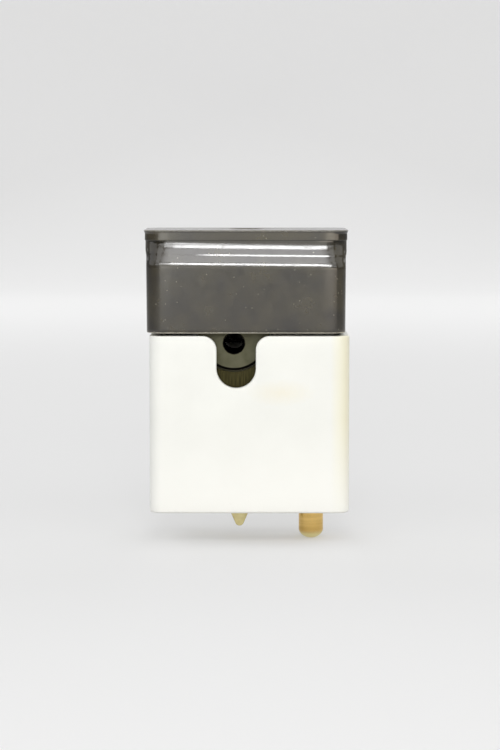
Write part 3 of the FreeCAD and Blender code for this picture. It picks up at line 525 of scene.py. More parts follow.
class Finishes:
    """The object's finishes, by the record's material slots."""

    # Soot black, also used as painted shade: inside the sight hole, on the wire there and in the gap round
    # the ceramic lobe.
    SOOT_AND_SHADE = colour(6, 5, 5)
    SIGHT = (-3.93, 0.0, 43.15)
    ROUND_Y = (1.0, 0.0, 1.0)
    AT_HEIGHT = (0.0, 0.0, 1.0)
    SHELL = Finish(
        "shell_moulding", colour(241, 242, 237), colour(245, 246, 241), 70.0, rough=(0.34, 0.44),
        relief=0.004, index=1.42, speck=colour(205, 200, 180), speck_size=0.025,
        # Soot on the shell's inside behind the sight hole, also painted shade there, with the sheen taken
        # off.
        marks=(Mark(SOOT_AND_SHADE, (-3.93, 8.0, 43.15), (1.0, 2.0, 1.0), 6.6, 2.0, dull=True),
               # Painted warm light: a yellow tint on the right front corner and end, where warm light falls
               # from the right.
               Mark(colour(240, 234, 198), (25.4, -12.5, 0.0), (1.0, 1.0, 0.0), 5.0, 5.0, strength=0.9),
               Mark(colour(242, 236, 214), (8.0, -12.5, 30.8), (0.4, 1.0, 1.0), 3.6, 3.4, 0.6, 0.5),
               # Painted light: near-white towards the bottom, fading out 24 mm up, to even out the shade low
               # on the shell.
               Mark(colour(252, 252, 247), (0.0, 0.0, 0.0), AT_HEIGHT, 24.0, 24.0, strength=0.9)))
    CAP = Finish(
        "cap_moulding", colour(24, 18, 9), colour(53, 47, 29), 160.0, rough=(0.1, 0.17), relief=0.002,
        index=1.7, speck=colour(150, 146, 130), speck_count=600.0,
        # Top edge painted lighter: a worn edge and a painted highlight along it.
        marks=(Mark(colour(150, 146, 136), (0.0, 0.0, 71.72), AT_HEIGHT, 0.13, 0.06, 0.1, 0.6),
               # Painted highlight: a light band along the cap's bottom edge.
               Mark(colour(196, 192, 176), (0.0, 0.0, 45.85), AT_HEIGHT, 0.3, 0.12, 0.14, 0.85)))
    CERAMIC = Finish(
        "ceramic", colour(78, 77, 55), colour(92, 91, 70), 300.0, rough=(0.5, 0.62), relief=0.012,
        index=1.35,
        # Soot round the sight hole and along its bore, also painted shade there; the ring in the gap round
        # the lobe is painted shade only. All have the sheen taken off.
        marks=(Mark(SOOT_AND_SHADE, SIGHT, ROUND_Y, 2.95, 0.2, 0.15, dull=True),
               Mark(SOOT_AND_SHADE, SIGHT, (0.0, 1.0, 1.0), 2.1, 0.3, dull=True),
               Mark(SOOT_AND_SHADE, (-3.93, 0.0, 45.25), ROUND_Y, 0.36, 0.12, ring=8.68, top=44.0, dull=True)))
    FIBRE = Finish(
        "fibre", colour(42, 38, 14), colour(72, 67, 36), 4200.0, Pattern.STRIATED, (0.65, 0.78),
        relief=0.012, index=1.25)
    BRASS = Finish(
        "brass_contact", colour(204, 176, 102), colour(228, 202, 130), 500.0, Pattern.TURNED, (0.24, 0.34),
        6000.0, 0.004, metallic=True)
    PIN = Finish(
        "brass_contact", colour(206, 170, 98), colour(238, 204, 132), 500.0, Pattern.TURNED, (0.13, 0.24),
        6000.0, 0.003, metallic=True, variant="pin",
        # Painted highlight: the pin's nose painted paler.
        marks=(Mark(colour(238, 230, 178), (0.0, 0.0, -8.1), AT_HEIGHT, 2.2, 1.0, 0.3, 0.8),))
    BLADE = Finish(
        "brass_contact", colour(186, 174, 128), colour(204, 194, 148), 400.0, rough=(0.3, 0.4),
        relief=0.004, metallic=True, variant="blade")
    SMALL_BRASS = Finish(
        "brass_small", colour(196, 164, 94), colour(216, 186, 112), 300.0, rough=(0.3, 0.4),
        relief=0.004, metallic=True)
    SCREW = Finish(
        "brass_screw", colour(198, 166, 94), colour(220, 190, 116), 300.0, rough=(0.26, 0.36),
        relief=0.004, metallic=True)
    SPRING = Finish(
        "spring_steel", colour(92, 92, 94), colour(120, 120, 122), 300.0, rough=(0.3, 0.42),
        relief=0.003, metallic=True)
    PLATED = Finish(
        "plated_steel", colour(178, 176, 168), colour(200, 198, 192), 300.0, rough=(0.28, 0.4),
        relief=0.003, metallic=True)
    RETAINER = Finish(
        "retainer_fibre", colour(120, 44, 30), colour(142, 60, 42), 500.0, rough=(0.55, 0.7), relief=0.008)
    WIRE = Finish(
        "tinned_copper", colour(186, 184, 178), colour(208, 206, 200), 800.0, rough=(0.22, 0.34),
        # Soot on the wire in the sight hole, also painted shade there.
        relief=0.003, metallic=True, marks=(Mark(SOOT_AND_SHADE, SIGHT, (0.12, 0.0, 1.0), 1.2, 0.2, 0.1),))


def put(name: str, data: bpy.types.ID) -> bpy.types.Object:
    """Put a mesh, a lamp or a camera into the scene.

    Args:
        name: The object's name.
        data: What it holds.

    Returns:
        The new object.
    """
    made = bpy.data.objects.new(name, data)
    bpy.context.scene.collection.objects.link(made)
    return made


class Piece:
    """A piece of the model: a new surface or a dressed node.

    Attributes:
        WELD: Distance in millimetres under which a node's points are one.
        FLAT: Angle in degrees under which a node's faces are one.
        BEND: Angle in degrees over which an edge is softened.
        CREASE: Angle in degrees over which an edge that isn't softened stays sharp.
    """

    WELD = 0.002
    FLAT = 0.5
    BEND = 40
    CREASE = 30

    @staticmethod
    def add(name: str, surface: Surface, finish: Finish, body: str, node: str, crease: float,
            cutters: Sequence[Surface] = (), joined: bool = False) -> None:
        """Make a new surface stand for a node.

        Args:
            name: The new piece's name.
            surface: Its surface.
            finish: Its finish.
            body: The body that it moves with.
            node: The node that it stands for.
            crease: Angle in degrees over which an edge stays sharp.
            cutters: Closed surfaces to cut out of it.
            joined: Whether they are joined to it instead.
        """
        made = put(name, surface.mesh(name))
        made.data.materials.append(finish.material())
        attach(made, body)
        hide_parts(node)
        if cutters:
            Piece._carve(made, cutters, joined)
        made.modifiers.new("split", "EDGE_SPLIT").split_angle = math.radians(crease)
        log.info("%s: %d faces, stands for %s", name, len(made.data.polygons), node)

    @staticmethod
    def _carve(piece: bpy.types.Object, cutters: Sequence[Surface], joined: bool) -> None:
        """Cut closed surfaces out of a piece, or join them to it, and keep the result as its mesh.

        Args:
            piece: The piece.
            cutters: The closed surfaces.
            joined: Whether they are joined to the piece instead of cut from it.
        """
        helpers = [put(f"{piece.name}_cutter_{index}", cutter.mesh("cutter"))
                   for index, cutter in enumerate(cutters)]
        for helper in helpers:
            change = piece.modifiers.new("carve", "BOOLEAN")
            change.operation = "UNION" if joined else "DIFFERENCE"
            change.solver = "EXACT"
            change.object = helper
        bpy.context.view_layer.update()
        worked = piece.evaluated_get(bpy.context.evaluated_depsgraph_get())
        mesh = bpy.data.meshes.new_from_object(worked)
        piece.modifiers.clear()
        mesh.name = piece.name
        piece.data = mesh
        for helper in helpers:
            bpy.data.objects.remove(helper)

    @staticmethod
    def dress(finish: Finish, *nodes: str, edge: float = 0.0) -> None:
        """Give nodes their finish and soften their edges.

        Args:
            finish: Their finish.
            nodes: The nodes' names.
            edge: Width of the softened edges; nought leaves them sharp.
        """
        for node in nodes:
            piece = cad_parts[node]
            piece.data.materials.clear()
            piece.data.materials.append(finish.material())
            piece.data.polygons.foreach_set("use_smooth", np.ones(len(piece.data.polygons), bool))
            piece.modifiers.new("weld", "WELD").merge_threshold = Piece.WELD * MM
            if edge:
                flat = piece.modifiers.new("flat", "DECIMATE")
                flat.decimate_type = "DISSOLVE"
                flat.angle_limit = math.radians(Piece.FLAT)
                bevel = piece.modifiers.new("edge", "BEVEL")
                bevel.width = edge * MM
                bevel.segments = 3
                bevel.limit_method = "ANGLE"
                bevel.angle_limit = math.radians(Piece.BEND)
                bevel.use_clamp_overlap = True
                piece.modifiers.new("normals", "WEIGHTED_NORMAL").keep_sharp = True
            else:
                piece.modifiers.new("split", "EDGE_SPLIT").split_angle = math.radians(Piece.CREASE)
            log.info("%s: dressed in %s", node, finish.slot)


@dataclass(frozen=True)
class Plan:
    """The columns of a surface round a rounded rectangle, counter-clockwise seen from above.

    Each column leans from one corner's centre to the next by its share, and stands off along its turn.

    Attributes:
        corner: Steps round each corner.
        long_side: Steps along the front and the back.
        short_side: Steps along each end.
    """

    corner: int
    long_side: int
    short_side: int

    def columns(self) -> tuple[np.ndarray, np.ndarray, np.ndarray, np.ndarray]:
        """The signs of each column's two corners, its share between them and its turn.

        Returns:
            Signs from, signs to, shares and turns.
        """
        signs = np.array([[1, -1], [1, 1], [-1, 1], [-1, -1]], float)
        sides = []
        for index in range(4):
            arc = (index - 1) * QUARTER + np.linspace(0, QUARTER, self.corner + 1)
            along = np.linspace(0, 1, (self.long_side if index % 2 else self.short_side) + 1)[1:-1]
            count = len(arc) + len(along)
            sides.append((np.tile(signs[index], (count, 1)), np.tile(signs[(index + 1) % 4], (count, 1)),
                          np.concatenate([np.zeros(len(arc)), along]),
                          np.concatenate([arc, np.full(len(along), arc[-1])])))
        return tuple(np.concatenate(part) for part in zip(*sides))

    def outline(self, half_width: float, half_depth: float, corner: float) -> np.ndarray:
        """The rounded rectangle's points.

        Args:
            half_width: Half its width.
            half_depth: Half its depth.
            corner: Its corners' radius.

        Returns:
            x and y of each column.
        """
        start, end, share, turn = self.columns()
        middle = np.array([half_width - corner, half_depth - corner])
        lean = start * (1 - share[:, None]) + end * share[:, None]
        return lean * middle + corner * np.stack([np.cos(turn), np.sin(turn)], axis=1)


@dataclass
class Shell:
    """The moulded shell: an open box with a round-bottomed notch in its front.

    Attributes:
        corner: Radius of the upright corners.
        foot: Radius of the bottom edge.
        rim: Radius of the rim's two edges.
        side_wall: Thickness of the end walls.
        face_wall: Thickness of the front and back walls.
        floor: Thickness of the floor.
        floor_edge: Radius between the floor and the walls.
        notch_x: The notch's centre.
        notch_half: Half the notch's width.
        notch_bottom: Height of the notch's bottom.
        lead: Radius at the notch's mouth.
        pin_hole: Radius of the pin's hole.
        blade_flange: How far the blade's flange stands out of its hole along x and y.
        blade_gap: The blade's clearance in its hole.
        screw_shank: Radius of a fixing screw's shank.
        screw_gap: The fixing screws' clearance.
        past: How far a cutter runs past the floor's two sides.
        plan: The columns round it.
    """

    corner: float = 3.2
    foot: float = 0.7
    rim: float = 0.35
    side_wall: float = 2.4
    face_wall: float = 2.2
    floor: float = 3.0
    floor_edge: float = 0.4
    notch_x: float = -3.36
    notch_half: float = 4.97
    notch_bottom: float = 31.97
    lead: float = 3.56
    pin_hole: float = 3.9
    blade_flange: Pair = (1.8, 1.4)
    blade_gap: float = 0.3
    screw_shank: float = 1.35
    screw_gap: float = 0.15
    past: float = 1.0
    plan: Plan = Plan(corner=14, long_side=120, short_side=16)

    def rim_path(self, count: int, reach: float, top: float) -> tuple[np.ndarray, np.ndarray]:
        """The front rim seen from the front: along the top, round the mouth, down, round and back up.

        Each point lies on the straight or the arc that its length along the path falls on.

        Args:
            count: How many points it has, the ends left out.
            reach: Half the straight front's length.
            top: Height of the rim.

        Returns:
            x and z of each point, and the way out of the material at each point.
        """
        mouth = self.notch_half + self.lead
        low, high = self.notch_bottom + self.notch_half, top - self.lead
        left, right = self.notch_x - self.notch_half, self.notch_x + self.notch_half
        runs = [reach + self.notch_x - mouth, QUARTER * self.lead, high - low, 2 * QUARTER * self.notch_half,
                high - low, QUARTER * self.lead, reach - self.notch_x - mouth]
        ends = np.cumsum([0.0] + runs)
        along = np.linspace(0, ends[-1], count + 2)[1:-1]
        part = np.clip(np.searchsorted(ends, along, side="right") - 1, 0, len(runs) - 1)
        done = along - ends[part]
        entry = QUARTER - done / self.lead
        bowl = 2 * QUARTER + done / self.notch_half
        leave = 2 * QUARTER - done / self.lead
        still = np.zeros(count)
        path = np.stack([
            np.choose(part, [-reach + done, left - self.lead + self.lead * np.cos(entry), still + left,
                             self.notch_x + self.notch_half * np.cos(bowl), still + right,
                             right + self.lead + self.lead * np.cos(leave), right + self.lead + done]),
            np.choose(part, [still + top, high + self.lead * np.sin(entry), high - done,
                             low + self.notch_half * np.sin(bowl), low + done,
                             high + self.lead * np.sin(leave), still + top])], axis=1)
        out_x = np.choose(part, [still, np.cos(entry), still + 1, -np.cos(bowl), still - 1, np.cos(leave),
                                 still])
        out_z = np.choose(part, [still + 1, np.sin(entry), still, -np.sin(bowl), still, np.sin(leave),
                                 still + 1])
        return path, np.stack([out_x, out_z], axis=1)

    def surface(self) -> Surface:
        """The whole shell: rows from the middle of its floor up the inside, over the rim and down.

        Between the floor and the rim each column is a straight line from its place on the floor's
        edge to its place on the rim, so that the columns fan out round the notch.

        Returns:
            The closed surface, without the holes in its floor.
        """
        low, high = box_of("body_shell")
        half_width, half_depth, top = (high[0] - low[0]) / 2, (high[1] - low[1]) / 2, high[2]
        inner = (half_width - self.side_wall, half_depth - self.face_wall, self.corner - self.face_wall)
        outer = (half_width, half_depth, self.corner)
        start, _, share, _ = self.plan.columns()
        front = (start[:, 0] < 0) & (start[:, 1] < 0) & (share > 0)
        reach = half_width - self.corner
        path, out = self.rim_path(int(front.sum()), reach, top)
        base_x = np.linspace(-reach, reach, int(front.sum()) + 2)[1:-1]

        def ring(size: Point, inset: float) -> np.ndarray:
            """An outline moved in by an inset."""
            return self.plan.outline(size[0] - inset, size[1] - inset, size[2] - inset)

        def wall(size: Point, inset: float, bottom: float, rise: float, drop: float) -> np.ndarray:
            """One row of a wall.

            Args:
                size: Half the width, half the depth and the corners' radius.
                inset: How far the row lies inside that size.
                bottom: Height of the wall's bottom.
                rise: The row's share of the way from there to the wall's top.
                drop: How far the wall's top lies under the rim.

            Returns:
                The row's points.
            """
            row = at_level(ring(size, inset), bottom + rise * (top - drop - bottom))
            row[front, 0] = base_x + rise * (path[:, 0] - drop * out[:, 0] - base_x)
            row[front, 2] = bottom + rise * (path[:, 1] - drop * out[:, 1] - bottom)
            return row

        inside, rim = self.floor + self.floor_edge, rounding(self.rim)
        rows = [at_level(ring(inner, 0) * scale, self.floor) for scale in (0.3, 0.7)]
        rows += [at_level(ring(inner, inset), self.floor + rise)
                 for rise, inset in rounding(self.floor_edge)[:-1]]
        rows += [wall(inner, 0, inside, rise, self.rim) for rise in np.linspace(0, 1, 7)]
        rows += [wall(inner, -inset, inside, 1, drop) for inset, drop in rim[1:]]
        rows += [wall(outer, inset, self.foot, 1, drop) for inset, drop in rim[:0:-1]]
        rows += [wall(outer, 0, self.foot, rise, self.rim) for rise in np.linspace(1, 0, 13)]
        rows += [at_level(ring(outer, inset), height) for inset, height in rounding(self.foot)[1:]]
        rows += [at_level(ring(outer, self.foot) * scale, 0.0) for scale in (0.7, 0.3)]
        made = Surface()
        made.add_grid(np.stack(rows), poles=[(0, 0, self.floor), (0, 0, 0)])
        return made

    def holes(self) -> list[Surface]:
        """Work out the floor's holes for the pin, the blade and the two fixing screws.

        Returns:
            The closed cutters.
        """
        under, over = -self.past, self.floor + self.past
        low, high = box_of("contact_blade")
        edge = np.array(self.blade_flange) - self.blade_gap
        cutters = [turned_surface(centre_of("pin_clamp_washer"), [self.pin_hole] * 2, (under, over), 64),
                   box_surface((*(low[:2] + edge), under), (*(high[:2] - edge), over))]
        shank = self.screw_shank + self.screw_gap
        for node in ("block_screw_left", "block_screw_right"):
            low, high = box_of(node)
            head = (high[0] - low[0]) / 2 + self.screw_gap
            cutters.append(turned_surface(centre_of(node), (head + self.past, shank, shank),
                                          (under, head - shank, over), 40))
        return cutters

    def build(self) -> None:
        """Make the shell with its holes."""
        Piece.add("moulded_shell", self.surface(), Finishes.SHELL, "carrier", "body_shell", 40, self.holes())


@dataclass
class Cap:
    """The moulded cap: a hollow grip whose head is narrow from front to back under a flared lip.

    The leans are depths below the top, each with the face's lean there in degrees.

    Attributes:
        draft: How much wider each half grows from the bottom to the shoulder.
        head: How much wider each half grows from there to the lip.
        flare: How much the lip's top stands out at the ends and along the faces.
        band: Height of the lip's flared top at the ends and along the faces.
        corner: Radius of the upright corners.
        neck_corner: Radius of the neck's upright corners.
        wall: Thickness of the walls.
        roof: Thickness of the roof.
        bow: How much the long faces fall back where the corners start.
        bow_reach: How far from there they begin to fall back.
        edge: Radius of the lip's top edge and of the bottom edge.
        lip: Height of the lip.
        lip_edge: Radius of the lip's lower edge and of the corner under it.
        underside: Fall of the lip's underside.
        neck_leans: The leans of the neck's wall.
        ridge_leans: Those of the ramp with its low ridge.
        worn_leans: Those of the ramp where the ridge is worn away.
        face_leans: Those of the shoulder and of the flat face's top.
        worn: From where to where, along x, the ridge grows out of its worn part.
        fine_row: Distance between the rows of the neck.
        first_row: How far under the shoulder the flat face's rows start.
        head_fall: Depths below the top between which the head's width runs out.
        slope: How much the neck drops for each step to the right.
        slope_in: Depths below the top over which the neck's slope grows.
        slope_out: Depths below the top over which it dies away.
        hollow_step: Depth below the top at which the hollow narrows.
        soft: Width of the hollow's softened edges; half of it at the bottom.
        step_soft: The same at the hollow's step.
        post: Radius of the screw's post, and the width of its foot and of its chamfer.
        chamber: Radius of the retainer's room in the post.
        retainer: Height of the retainer.
        rise: How far the screw rises.
        bore: Radius of the screw's bore.
        sink: Radii of the screw's recess in the top, each with its depth.
        rib_half: Half the ribs' thickness.
        rib_drop: Depth of the ribs' lower edge below the top.
        rib_start: How far from the screw's axis the ribs start.
        plan: The columns round it.
    """

    draft: float = 0.1
    head: float = 0.3
    flare: Pair = (0.35, 0.1)
    band: Pair = (0.9, 0.45)
    corner: float = 3.5
    neck_corner: float = 5.3
    wall: float = 2.0
    roof: float = 2.2
    bow: float = 0.08
    bow_reach: float = 3.0
    edge: float = 0.3
    lip: float = 2.6
    lip_edge: float = 0.05
    underside: float = 0.03
    neck_leans: tuple[Pair, ...] = (
        (2.6, 0.5), (2.85, 1.5), (3.1, 5.0), (3.45, 7.2), (3.85, 8.6), (4.4, 9.8), (4.85, 11.4))
    ridge_leans: tuple[Pair, ...] = (
        (5.15, 22.5), (5.8, 22.5), (6.1, 13.0), (6.2, 10.0), (6.54, 10.0), (6.65, 13.0), (6.95, 22.5),
        (7.75, 22.5))
    worn_leans: tuple[Pair, ...] = (
        (5.15, 21.0), (6.0, 21.0), (6.25, 15.5), (6.5, 15.5), (6.75, 21.0), (7.75, 21.0))
    face_leans: tuple[Pair, ...] = (
        (8.15, 13.0), (8.42, 11.0), (8.67, 10.0), (9.05, 7.5), (9.45, 1.5), (9.75, 0.3))
    worn: Pair = (-27.0, -6.0)
    fine_row: float = 0.06
    first_row: float = 0.4
    head_fall: Pair = (4.8, 7.6)
    slope: float = 0.0105
    slope_in: Pair = (2.7, 3.8)
    slope_out: Pair = (8.9, 12.0)
    hollow_step: float = 10.0
    soft: float = 0.3
    step_soft: float = 0.1
    post: Point = (5.7, 0.4, 0.2)
    chamber: float = 4.1
    retainer: float = 0.8
    rise: float = 4.86
    bore: float = 2.6
    sink: tuple[Pair, ...] = ((4.5, 0.25), (4.58, 0.08), (4.75, 0.0))
    rib_half: float = 0.8
    rib_drop: float = 9.4
    rib_start: float = 5.2
    plan: Plan = Plan(corner=36, long_side=110, short_side=36)

    def __post_init__(self) -> None:
        """Read the cap's place and size from the frame."""
        low, high = box_of("cap")
        self.middle = (low[0] + high[0]) / 2
        self.bottom, self.top = low[2], high[2]
        self.height = self.top - self.bottom
        grow = self.draft + self.head
        self.half_width = (high[0] - low[0]) / 2 - grow - self.flare[0]
        self.half_depth = (high[1] - low[1]) / 2 - grow - self.flare[1]
        self.screw_x = centre_of("cap_screw_washer")[0]
        self.shoulder = self.face_leans[-1][0]
        self.deepest = self.recess(self.lip, self.ridge_leans)

    def recess(self, depth: float, ramp: tuple[Pair, ...]) -> float:
        """How far the neck lies behind the flat face below it.

        It is the sum, from each depth down to the shoulder's foot, of the tangent of the face's lean
        times the step in depth.

        Args:
            depth: Depth below the top.
            ramp: The leans of the ramp, with or without its ridge.

        Returns:
            The recess.
        """
        stations, angles = np.array(self.neck_leans + ramp + self.face_leans).T
        fine = np.linspace(min(depth, self.shoulder), self.shoulder, 400)
        slopes = np.tan(np.radians(np.interp(fine, stations, angles)))
        return float(((slopes[1:] + slopes[:-1]) / 2 * np.diff(fine)).sum())

    def outside(self) -> list[np.ndarray]:
        """Work out the outside, from the lip's top edge down to the bottom edge.

        Returns:
            Its rows of points.
        """
        rows = [self._lip_row(fall, inset) for fall, inset in rounding(self.edge, 5)[:-1]]
        rows += [self._lip_row(fall, 0.0) for fall in np.linspace(self.edge, self.lip - self.lip_edge, 16)]
        rows += self._under_lip(rows[-1])
        start = self.lip + self.underside + self.lip_edge
        neck = np.arange(start, self.shoulder + 0.1, self.fine_row)[1:]
        face = np.linspace(self.shoulder + self.first_row, self.height - self.edge, 24)
        rows += [self._neck_row(depth, self.top - depth) for depth in (*neck, *face)]
        rows += [self._bowed(self.half_width - inset, self.half_depth - inset, self.corner,
                             self.bottom + rise) for inset, rise in rounding(self.edge)[1:]]
        return rows

    def _under_lip(self, outer: np.ndarray) -> list[np.ndarray]:
        """The rows round the lip's lower edge, along its underside and into the neck.

        Each row is a blend of the lip's outline and the neck's, so that the underside runs out where
        the two meet at the ends of the cap.

        Args:
            outer: The lip's last row.

        Returns:
            The rows.
        """
        inner = self._neck_row(self.lip + self.underside + self.lip_edge, 0.0)
        share = self.lip_edge / float(np.abs(outer[:, 1]).max() - np.abs(inner[:, 1]).max())
        level = self.top - self.lip
        turns = rounding(1.0)[1:]
        places = [(share * inset, level + self.lip_edge * rise) for inset, rise in turns]
        places += [(blend, level - self.underside * blend) for blend in np.linspace(share, 1 - share, 5)[1:]]
        places += [(1 - share * rise, level - self.underside - self.lip_edge * inset)
                   for inset, rise in turns]
        return [at_level((outer * (1 - blend) + inner * blend)[:, :2], height) for blend, height in places]

    def _neck_row(self, depth: float, height: float) -> np.ndarray:
        """One row of the neck, the shoulder or the flat face.

        Args:
            depth: Depth below the top at which the outline is taken.
            height: The row's height.

        Returns:
            The row's points.
        """
        recess, worn = self.recess(depth, self.ridge_leans), self.recess(depth, self.worn_leans)
        corner = self.corner + (self.neck_corner - self.corner) * recess / self.deepest
        drafted = self.draft * min(1.0, (self.height - depth) / (self.height - self.shoulder))
        wide = self.head * (1 - smooth_step(depth, *self.head_fall))
        deep = self.half_depth + drafted
        row = self._bowed(self.half_width + drafted + wide, deep - recess, corner, height)
        fade = smooth_step(depth, *self.slope_in) * (1 - smooth_step(depth, *self.slope_out))
        row[:, 2] -= self.slope * row[:, 0] * fade
        share = smooth_step(row[:, 0], *self.worn)
        row[:, 1] *= share + (1 - share) * (deep - worn) / (deep - recess)
        return row

    def _lip_row(self, fall: float, inset: float) -> np.ndarray:
        """One row of the lip, whose flare runs out with its fall below the top.

        Args:
            fall: How far it lies below the top.
            inset: How far it lies inside the lip's outline.

        Returns:
            The row's points.
        """
        more = self.draft + self.head - inset
        ends, faces = (more + flare * max(0.0, 1 - fall / band) for flare, band in zip(self.flare, self.band))
        return self._bowed(self.half_width + ends, self.half_depth + faces, self.corner, self.top - fall)

    def _bowed(self, half_width: float, half_depth: float, corner: float, height: float) -> np.ndarray:
        """A rounded rectangle whose long faces fall back towards the corners.

        They fall back by the square of the distance past the place where that begins, over its reach.

        Args:
            half_width: Half its width.
            half_depth: Half its depth.
            corner: Its corners' radius.
            height: Its height.

        Returns:
            The row's points.
        """
        outline = self.plan.outline(half_width, half_depth, corner)
        past = (np.abs(outline[:, 0]) - (half_width - corner)) / self.bow_reach + 1
        outline[:, 1] *= 1 - self.bow / half_depth * np.clip(past, 0, None) ** 2
        return at_level(outline, height)

    def inside(self) -> list[np.ndarray]:
        """Work out the inside: up the hollow, down the post, up the bore and out at the top.

        The post's rows are circles whose columns point from the screw's axis to the cap's outline.

        Returns:
            Its rows of points.
        """
        screw = np.array([self.screw_x - self.middle, 0.0])
        away = self.plan.outline(self.half_width, self.half_depth, self.corner) - screw
        away /= np.linalg.norm(away, axis=1, keepdims=True)
        wide, low_corner = self.half_width - self.wall, self.corner - self.wall
        deep, high_corner = self.half_depth - self.wall, self.neck_corner - self.wall
        narrow = deep + self.draft - self.deepest
        step, roof = self.top - self.hollow_step, self.top - self.roof
        post_end = box_of("fuse_block")[1][2]
        chamber_end = 2 * box_of("cap_screw_retainer")[0][2] - post_end + self.retainer + self.rise
        seat = box_of("cap_screw_washer")[0][2]
        post, foot, chamfer = self.post
        rows = [at_level(self.plan.outline(wide, depth, corner), height) for depth, corner, height in (
            (deep, low_corner, self.bottom + self.soft / 2), (deep, low_corner, step - self.soft),
            (deep - self.step_soft, low_corner, step),
            (narrow + self.step_soft, high_corner, step + self.step_soft / 2),
            (narrow, high_corner, step + 2 * self.step_soft), (narrow, high_corner, roof - self.soft),
            (narrow - self.soft, high_corner, roof))]
        rows += [at_level(screw + radius * away, height) for radius, height in (
            (post + foot, roof), (post, roof - foot), (post, post_end + chamfer), (post - chamfer, post_end),
            (self.chamber, post_end), (self.chamber, chamber_end), (self.bore, chamber_end),
            (self.bore, seat), (self.sink[0][0], seat),
            *((radius, self.top - depth) for radius, depth in self.sink))]
        return rows

    def ribs(self) -> list[Surface]:
        """Two crossed ribs under the roof, each in two halves beside the screw's post.

        Returns:
            The closed ribs.
        """
        half, start, x = self.rib_half, self.rib_start, self.screw_x
        low, high = self.top - self.rib_drop, self.top - self.roof / 2
        reach = self.half_width - self.wall / 2
        deep = self.half_depth + self.draft - self.deepest - self.wall / 2
        return [box_surface((self.middle - reach, -half, low), (x - start, half, high)),
                box_surface((x + start, -half, low), (self.middle + reach, half, high)),
                box_surface((x - half, -deep, low), (x + half, -start, high)),
                box_surface((x - half, start, low), (x + half, deep, high))]

    def build(self) -> None:
        """Make the cap with its ribs."""
        grid = np.stack(self.outside() + self.inside())
        grid[..., 0] += self.middle
        made = Surface()
        made.add_grid(grid, round_rows=True)
        Piece.add("moulded_cap", made, Finishes.CAP, "cap", "cap", 50, self.ribs(), joined=True)


@dataclass
class SlottedScrew:
    """A slotted cheese-head screw with a rolled thread.

    Attributes:
        node: The node that it stands for.
        body: The body that it moves with.
        head_height: Height of its head.
        shank: Radius over the thread.
        pitch: Pitch of the thread.
        plain: Length under the head that has no thread.
        slot: Width of the slot.
        slot_depth: Depth of the slot.
        point: Width and height of the chamfer at the end.
        undercut: The shank's radius under the head, as a share of it.
        thread: Depth of the thread as a share of its pitch.
        edge: Radius of the head's top edge.
        low_edge: Chamfer of its lower edge.
        rows: Rows to each turn of the thread.
        past: How far the slot's cutter runs past the head.
    """

    node: str
    body: str
    head_height: float
    shank: float
    pitch: float
    plain: float = 0.6
    slot: float = 0.9
    slot_depth: float = 1.1
    point: Pair = (0.55, 0.35)
    undercut: float = 0.94
    thread: float = 0.55
    edge: float = 0.3
    low_edge: float = 0.08
    rows: int = 10
    past: float = 1.0

    def surface(self) -> Surface:
        """The turned screw: the thread is a wave of one pitch that climbs once round.

        Returns:
            The closed surface without its slot.
        """
        (left, _, low), (right, _, high) = box_of(self.node)
        head, under = (right - left) / 2, high - self.head_height
        end = under - self.plain
        steps = np.arange(low + self.point[1], end, self.pitch / self.rows)
        insets, falls = rounding(self.edge).T
        radii = np.array([self.shank - self.point[0], *np.full(len(steps), self.shank),
                          self.shank * self.undercut, head - self.low_edge, head, *(head - insets)])[:, None]
        heights = np.array([low, *steps, under, under, under + self.low_edge, *(high - falls)])
        level = heights[:, None]
        phase = level / self.pitch - np.linspace(0, 1, 48, endpoint=False)
        wave = np.abs(phase - np.floor(phase) - 0.5) * 2
        fade = smooth_step(level, low, low + self.pitch) * (1 - smooth_step(level, end - self.pitch, end))
        reach = radii - self.thread * self.pitch * wave * fade * (level < end)
        return turned_surface(centre_of(self.node), reach, heights)

    def build(self) -> None:
        """Make the screw with its slot."""
        (left, front, _), (right, back, top) = box_of(self.node)
        middle, half = (front + back) / 2, self.slot / 2
        cutter = box_surface((left - self.past, middle - half, top - self.slot_depth),
                             (right + self.past, middle + half, top + self.past))
        Piece.add(f"threaded_{self.node}", self.surface(), Finishes.SCREW, self.body, self.node, 35, [cutter])


@dataclass
class FuseBlock:
    """The ceramic block with its fibre pads, inserts, wire and fixings.

    Attributes:
        ceramic_edge: Width of the block's softened edges.
        small_edge: Width of the small pieces' softened edges.
    """

    ceramic_edge: float = 0.22
    small_edge: float = 0.1

    def build(self) -> None:
        """Dress the block and the pieces that it carries."""
        Piece.dress(Finishes.CERAMIC, "fuse_block", edge=self.ceramic_edge)
        Piece.dress(Finishes.FIBRE, "arc_pad_front", "arc_pad_rear", edge=self.small_edge)
        Piece.dress(Finishes.SMALL_BRASS, "pad_rivets", "cap_insert", "block_insert_left",
                    "block_insert_right", "blade_terminal_nut", edge=self.small_edge)
        Piece.dress(Finishes.SCREW, "block_screw_left", "block_screw_right", edge=self.small_edge)
        Piece.dress(Finishes.WIRE, "fuse_wire")


